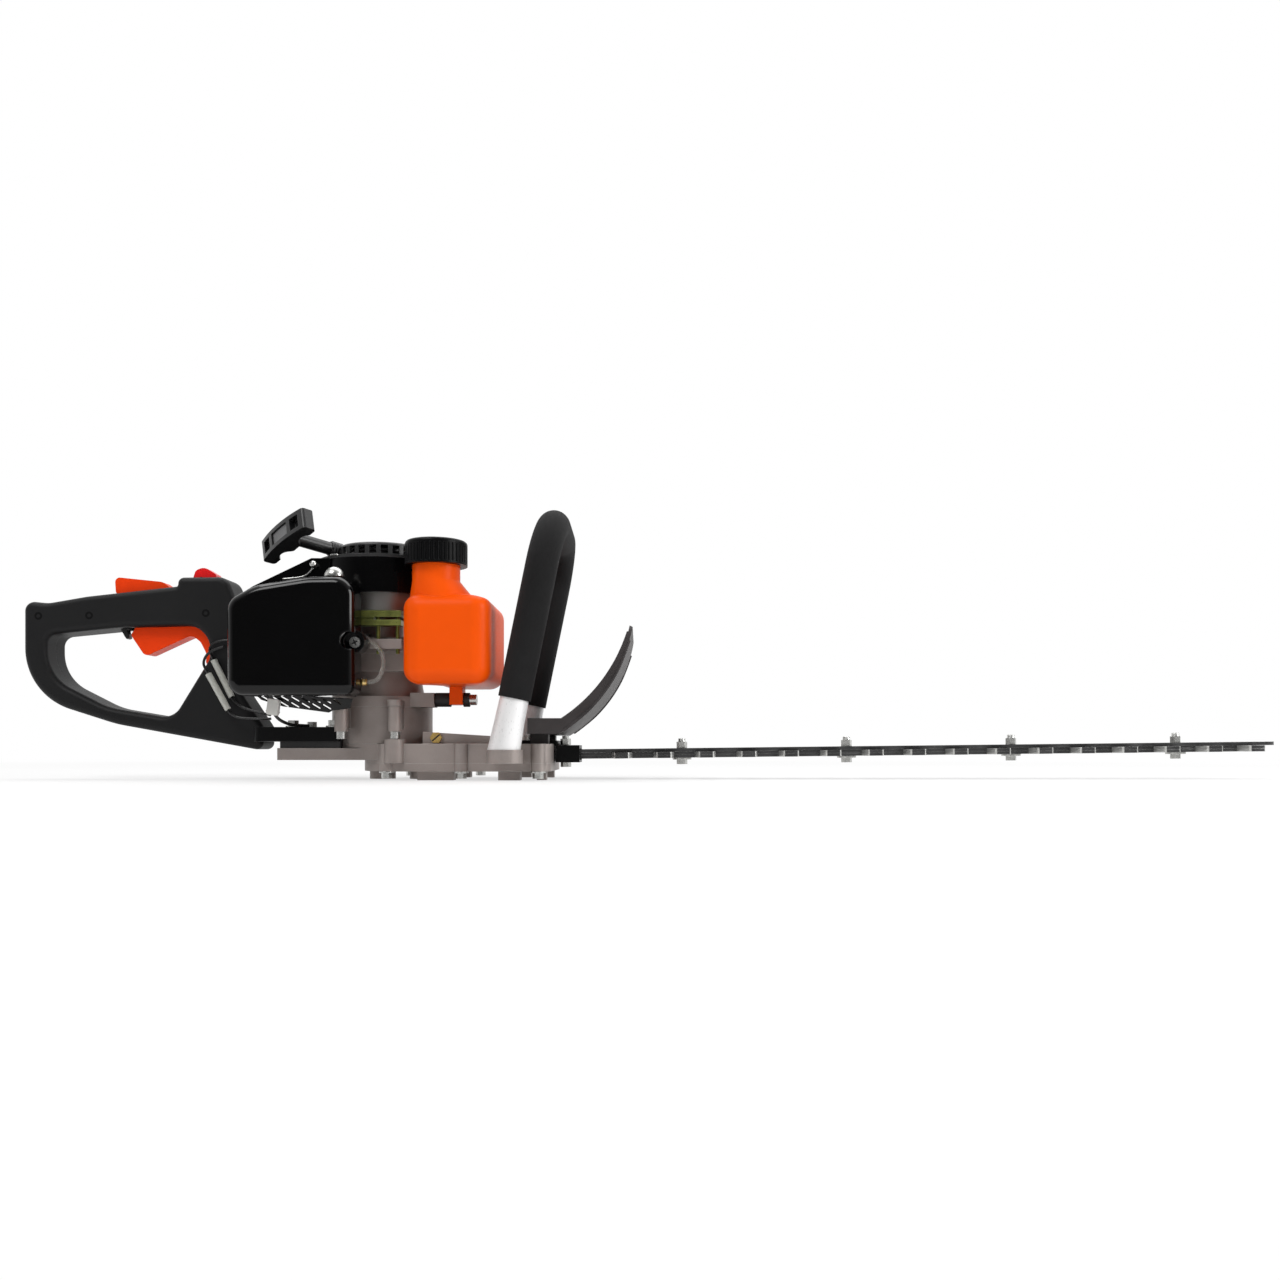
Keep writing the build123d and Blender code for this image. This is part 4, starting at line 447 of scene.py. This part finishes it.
# Textured inlay in the bar of the starter handle
bar_middle = rope_exit + pull * 54
bar_lean = Vector((0.734, -0.581, 0.352)).normalized()
bar_axis = (bar_lean - pull * bar_lean.dot(pull)).normalized()
inlay_lift = 4.6
inlay_half = (10.6, 5.2)
inlay_crown = 0.004
pimple_height = 0.35
pimple_turn = 2.2
inlay_turn = Matrix((bar_axis, pull.cross(bar_axis), pull)).transposed().to_4x4()
inlay_place = Matrix.Translation((bar_middle + pull * inlay_lift) * MM) @ inlay_turn @ Matrix.Scale(MM, 4)
inlay = bmesh.new()
bmesh.ops.create_grid(inlay, x_segments=44, y_segments=22, size=1)
for point in inlay.verts:
    x = point.co.x * inlay_half[0]
    y = point.co.y * inlay_half[1]
    pimple = pimple_height * abs(sin(pimple_turn * x)) * abs(sin(pimple_turn * y))
    point.co = (x, y, pimple - inlay_crown * x * x)
inlay.transform(inlay_place)
add_piece("starter_inlay", finished_mesh("starter_inlay", inlay), inlay_grey, "starter_pull")

# Stop leads, straight where their connectors are
lead_radius = 1.1
connector_leg = 2
connector_shares = (0.18, 0.94)
lead_routes = (
    [(-124.9, -22, 118), (-135.9, -22, 118), (-143.3, -22, 111), (-121.5, -22, 66.3), (-111.3, -22, 58.7),
     (-90, -22, 54.5)],
    [(-128, -27.5, 112), (-140, -27.5, 109), (-146.2, -27.5, 98.6), (-122.3, -27.5, 55.3),
     (-114, -27.5, 51), (-88, -27.5, 51.2)],
)


def with_straight(route, leg, shares):
    """Holds one leg of a route straight between two shares of its length."""
    start = Vector(route[leg])
    end = Vector(route[leg + 1])
    held = [tuple(start.lerp(end, share)) for share in shares]
    return route[: leg + 1] + held + route[leg + 1 :]


leads = [with_straight(route, connector_leg, connector_shares) for route in lead_routes]
wires = tube("stop_leads", leads, lead_radius, insulation, "machine")
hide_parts("stop_wires")

# Breather hose and fuel hose
hose_radius = 1.8
hose_route = [(-13, -52, 154.9), (-13, -55.5, 140), (-13, -56.1, 130), (-6, -56.1, 120),
              (10, -56.1, 110), (15, -56.1, 95), (9, -56.1, 81), (0, -56.1, 80.5),
              (-10, -56.1, 80), (-10, -50, 81.3), (-10, -34.3, 84.5)]
hose = tube("breather_line", [hose_route], hose_radius, clear_hose, "machine")
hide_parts("breather_hose")
fuel_radius = 2.4
fuel_route = [(62, 24, 92), (62, 48, 92), (20, 48, 86), (-8, 48, 100), (-29, 48, 100)]
fuel_line = tube("fuel_line", [fuel_route], fuel_radius, rubber, "machine")
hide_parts("fuel_hose")

# Brass ferrule on the breather hose and its pale nut
barb = [(1.7, 0), (2.6, 0.3), (2.9, 1.2), (2.3, 2.6), (2.9, 3.0), (2.9, 4.2), (1.7, 4.6)]
lathe("breather_barb", barb, (0.5, -56.1, 80.5), (-1, 0, -0.05), brass, "machine")
nut_radius = 4.2
nut_half = 1.8
nut = [(nut_radius * cos(pi * at / 3), nut_radius * sin(pi * at / 3)) for at in range(6)]
prism("breather_nut", nut, nut_half, set_at((-10, -46, 82.1), (0, 1, 0.2)), pale, "machine", 0.4)

# Pale sleeve on the earth wire, in front of the grille's rear end
sleeve_half = 2.6
sleeve = [(-4.4, -6.6), (4.4, -6.6), (4.4, -3.4), (4.8, -3.0), (4.8, 5.6), (4.4, 6.6),
          (-4.4, 6.6), (-4.8, 5.6), (-4.8, -3.0), (-4.4, -3.4)]
sleeve_place = Matrix.Translation(Vector((-73, -66, 59.7)) * MM) @ Matrix.Rotation(radians(8), 4, "Y")
sleeve_place = sleeve_place @ Matrix.Rotation(radians(90), 4, "X") @ Matrix.Scale(MM, 4)
prism("earth_sleeve", sleeve, sleeve_half, sleeve_place, pale, "machine", 0.7)
earth_radius = 1.3
earth_above = [(-74, -66, 65), (-74.6, -66.4, 67.6), (-75, -67, 69.2)]
earth_below = [(-72, -66, 54), (-70.5, -64, 50), (-66, -50, 46), (-62, -40, 45.4), (-54, -34, 45.1)]
tube("earth_wire", [earth_above, earth_below], earth_radius, insulation, "machine")

# Hook under the grip, ahead of the trigger's tip
hook_half = 3.2
hook = [(-229, 134), (-221.5, 134), (-221.5, 128.5), (-219.6, 125), (-219.2, 121.6), (-221.5, 120.8),
        (-223.6, 123.6), (-225.2, 128)]
hook_outline = [(x, -z) for x, z in hook][::-1]
hook_place = Matrix.Rotation(radians(-90), 4, "X") @ Matrix.Scale(MM, 4)
prism("grip_hook", hook_outline, hook_half, hook_place, satin_black, "machine", 0.6)

# Shallow dimples in the near face of the rear handle
handle_face_y = -18
dimple = [(0, -0.02), (1.6, 0.0), (2.6, 0.10), (3.3, 0.02), (3.6, -0.1)]
dimple_spots = ((-289.8, 139.2), (-246.5, 139.6), (-147, 141.6))
for spot, (x, z) in enumerate(dimple_spots):
    lathe(f"handle_dimple_{spot}", dimple, (x, handle_face_y, z), (0, -1, 0), dimple_dark, "machine", 28)

# Cross recesses of the cover's and the handle's screws, and the slot of the grease plug, as dark slabs of
# painted shade
to_camera = (0, -1, 0)
from_camera = (0, 1, 0)


def recess_shade(name, long, wide, depth, placing, round_off):
    """A dark slab of painted shade in a screw's head, given by half its size each way."""
    outline = [(-long, -wide), (long, -wide), (long, wide), (-long, wide)]
    prism(name, outline, depth, placing, rubber, "machine", round_off)


for name, turn in (("cover_cross_a", 0.5), ("cover_cross_b", 0.5 + pi / 2)):
    recess_shade(name, 2.7, 0.55, 0.35, set_at((-7.4, -65.9, 112), to_camera, turn), 0.12)
handle_screw_spots = ((-289, 137), (-259, 65.5), (-186, 47), (-131, 156), (-126, 78))
handle_screw_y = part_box("handle_screws")[1][1] / MM
for spot, (x, z) in enumerate(handle_screw_spots):
    for arm in range(2):
        turn = 0.4 + 0.5 * spot + arm * pi / 2
        placing = set_at((x, handle_screw_y, z), from_camera, turn)
        recess_shade(f"handle_cross_{spot}_{arm}", 2.2, 0.45, 0.25, placing, 0.1)
plug_low, plug_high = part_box("grease_plug")
plug_mid = Vector(((plug_low[0] + plug_high[0]) / 2, plug_low[1], (plug_low[2] + plug_high[2]) / 2)) / MM
recess_shade("plug_slot", 4.0, 0.6, 0.3, set_at(plug_mid, to_camera, 0.7), 0.12)

# Threads on the free ends of the blade bolts
blade_rise = radians(0.64)
along = Vector((cos(blade_rise), 0, sin(blade_rise)))
up = Vector((-sin(blade_rise), 0, cos(blade_rise)))
bar_start = Vector((150, 0, 19.57))
bolt_spots = (110, 253, 396, 539)
thread_below_top = 2.6
thread_pitch = 0.7
thread = [(2.9, 0)]
for turn in range(4):
    foot = thread_pitch * turn
    thread += [(3.05, foot + 0.1), (3.4, foot + 0.4), (3.05, foot + 0.7)]
thread += [(2.6, 3.1), (0, 3.3)]
bolt_top_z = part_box("blade_bolts")[1][2] / MM
lift = bolt_top_z - thread_below_top - (bar_start.z + bolt_spots[-1] * sin(blade_rise))
for spot, x in enumerate(bolt_spots):
    lathe(f"bolt_thread_{spot}", thread, bar_start + along * x + up * lift, up, zinc, "machine", 28)

# Rolled edge along both sides of the hand guard's outer face
guard_x = 92.6
guard_z = 146.9
guard_radius = 127.0
guard_half = 72.6
edge_radius = 1.1
edge_start = radians(-57)
edge_step = radians(8.3)
edge_points = 6
for name, side in (("guard_edge_near", -1), ("guard_edge_far", 1)):
    edge_line = []
    for at in range(edge_points):
        turn = edge_start + edge_step * at
        reach = guard_radius
        if at not in (0, edge_points - 1):
            reach /= cos(edge_step / 2)
        edge_line.append((guard_x + reach * cos(turn), side * guard_half, guard_z + reach * sin(turn)))
    tube(name, [edge_line], edge_radius, guard_black, "machine")

# Throttle link and its post on the side of the hood
post = [(0, 0), (1.6, 0), (1.6, 4.5), (2.6, 5), (2.9, 6.4), (2.2, 7.8), (0, 8.2)]
lathe("link_post", post, (-46, -43.6, 176.5), (0, -1, 0.25), zinc, "machine", 28)
link_radius = 0.8
link_route = [(-72, -46, 166.4), (-66, -46, 166.9), (-58, -46, 167.6), (-51, -46, 170), (-47, -47, 175)]
tube("throttle_link", [link_route], link_radius, zinc, "machine")

# Floor and light
WHITE = (1, 1, 1, 1)
floor_half = 30
floor_z = -0.0002


def soft_floor():
    """A white floor that keeps the object's shadow and fades to plain white further out."""
    made, tree, shader = new_material("floor_white")
    shader.inputs["Base Color"].default_value = (0.86, 0.86, 0.86, 1)
    shader.inputs["Roughness"].default_value = 0.6
    shader.inputs["Specular IOR Level"].default_value = 0.2
    glow = add_node(tree, "ShaderNodeEmission")
    glow.inputs["Strength"].default_value = 1.0
    path = add_node(tree, "ShaderNodeLightPath")
    seen = calculate(tree, "MAXIMUM", path.outputs["Is Camera Ray"], path.outputs["Is Glossy Ray"])
    seen = calculate(tree, "MAXIMUM", seen, path.outputs["Is Transmission Ray"])
    place = add_node(tree, "ShaderNodeNewGeometry")
    away = add_node(tree, "ShaderNodeVectorMath", operation="LENGTH")
    tree.links.new(place.outputs["Position"], away.inputs[0])
    share = calculate(tree, "MULTIPLY", seen, spread(tree, away.outputs["Value"], 0.3, 1.6, 0.62, 1.0))
    shown = mix_shader(tree, share, shader.outputs[0], glow.outputs[0])
    tree.links.new(shown, tree.nodes["Material Output"].inputs["Surface"])
    return made


floor_corners = [(-floor_half, -floor_half, floor_z), (floor_half, -floor_half, floor_z),
                 (floor_half, floor_half, floor_z), (-floor_half, floor_half, floor_z)]
floor_mesh = bpy.data.meshes.new("floor")
floor_mesh.from_pydata(floor_corners, [], [(0, 1, 2, 3)])
floor_mesh.materials.append(soft_floor())
floor = bpy.data.objects.new("floor", floor_mesh)
scene.collection.objects.link(floor)


def studio_world():
    """Soft light all round, a plain white backdrop, and a darker front in reflections."""
    world = bpy.data.worlds.new("studio")
    world.use_nodes = True
    tree = world.node_tree
    ambient = tree.nodes["Background"]
    backdrop = add_node(tree, "ShaderNodeBackground")
    mirrored = add_node(tree, "ShaderNodeBackground")
    for light in (ambient, backdrop, mirrored):
        light.inputs["Color"].default_value = WHITE
    ambient.inputs["Strength"].default_value = 0.42
    backdrop.inputs["Strength"].default_value = 1.0
    place = add_node(tree, "ShaderNodeTexCoord")
    parts = add_node(tree, "ShaderNodeSeparateXYZ")
    tree.links.new(place.outputs["Generated"], parts.inputs[0])
    tree.links.new(spread(tree, parts.outputs["Y"], -0.8, 0.2, 0.1, 1.0), mirrored.inputs["Strength"])
    path = add_node(tree, "ShaderNodeLightPath")
    lit = mix_shader(tree, path.outputs["Is Glossy Ray"], ambient.outputs[0], mirrored.outputs[0])
    seen = calculate(tree, "MAXIMUM", path.outputs["Is Camera Ray"], path.outputs["Is Transmission Ray"])
    shown = mix_shader(tree, seen, lit, backdrop.outputs[0])
    tree.links.new(shown, tree.nodes["World Output"].inputs["Surface"])
    return world


def softbox(name, at, aim, wide, high, power):
    lamp = bpy.data.lights.new(name, "AREA")
    lamp.shape = "RECTANGLE"
    lamp.size = wide
    lamp.size_y = high
    lamp.energy = power
    made = bpy.data.objects.new(name, lamp)
    made.location = at
    made.rotation_euler = (Vector(aim) - Vector(at)).to_track_quat("-Z", "Y").to_euler()
    scene.collection.objects.link(made)


scene.world = studio_world()
softbox("key", (-0.6, -1.1, 1.5), (0.1, 0, 0.1), 1.0, 0.7, 14)
softbox("top", (0.2, 0.35, 1.6), (0.2, 0, 0.1), 2.2, 0.8, 16)
softbox("side", (1.6, -0.5, 0.7), (0.2, 0, 0.1), 0.8, 0.8, 14)

# Camera
view = bpy.data.cameras.new("view")
view.sensor_fit = "HORIZONTAL"
view.sensor_width = 36
view.lens = 30.73
view.shift_y = 0.0844
view.clip_start = 0.01
camera = bpy.data.objects.new("view", view)
camera.location = (0.2235, -0.95, 0.0265)
camera.rotation_euler = (radians(90), 0, 0)
scene.collection.objects.link(camera)
scene.camera = camera
scene.view_settings.view_transform = "Standard"
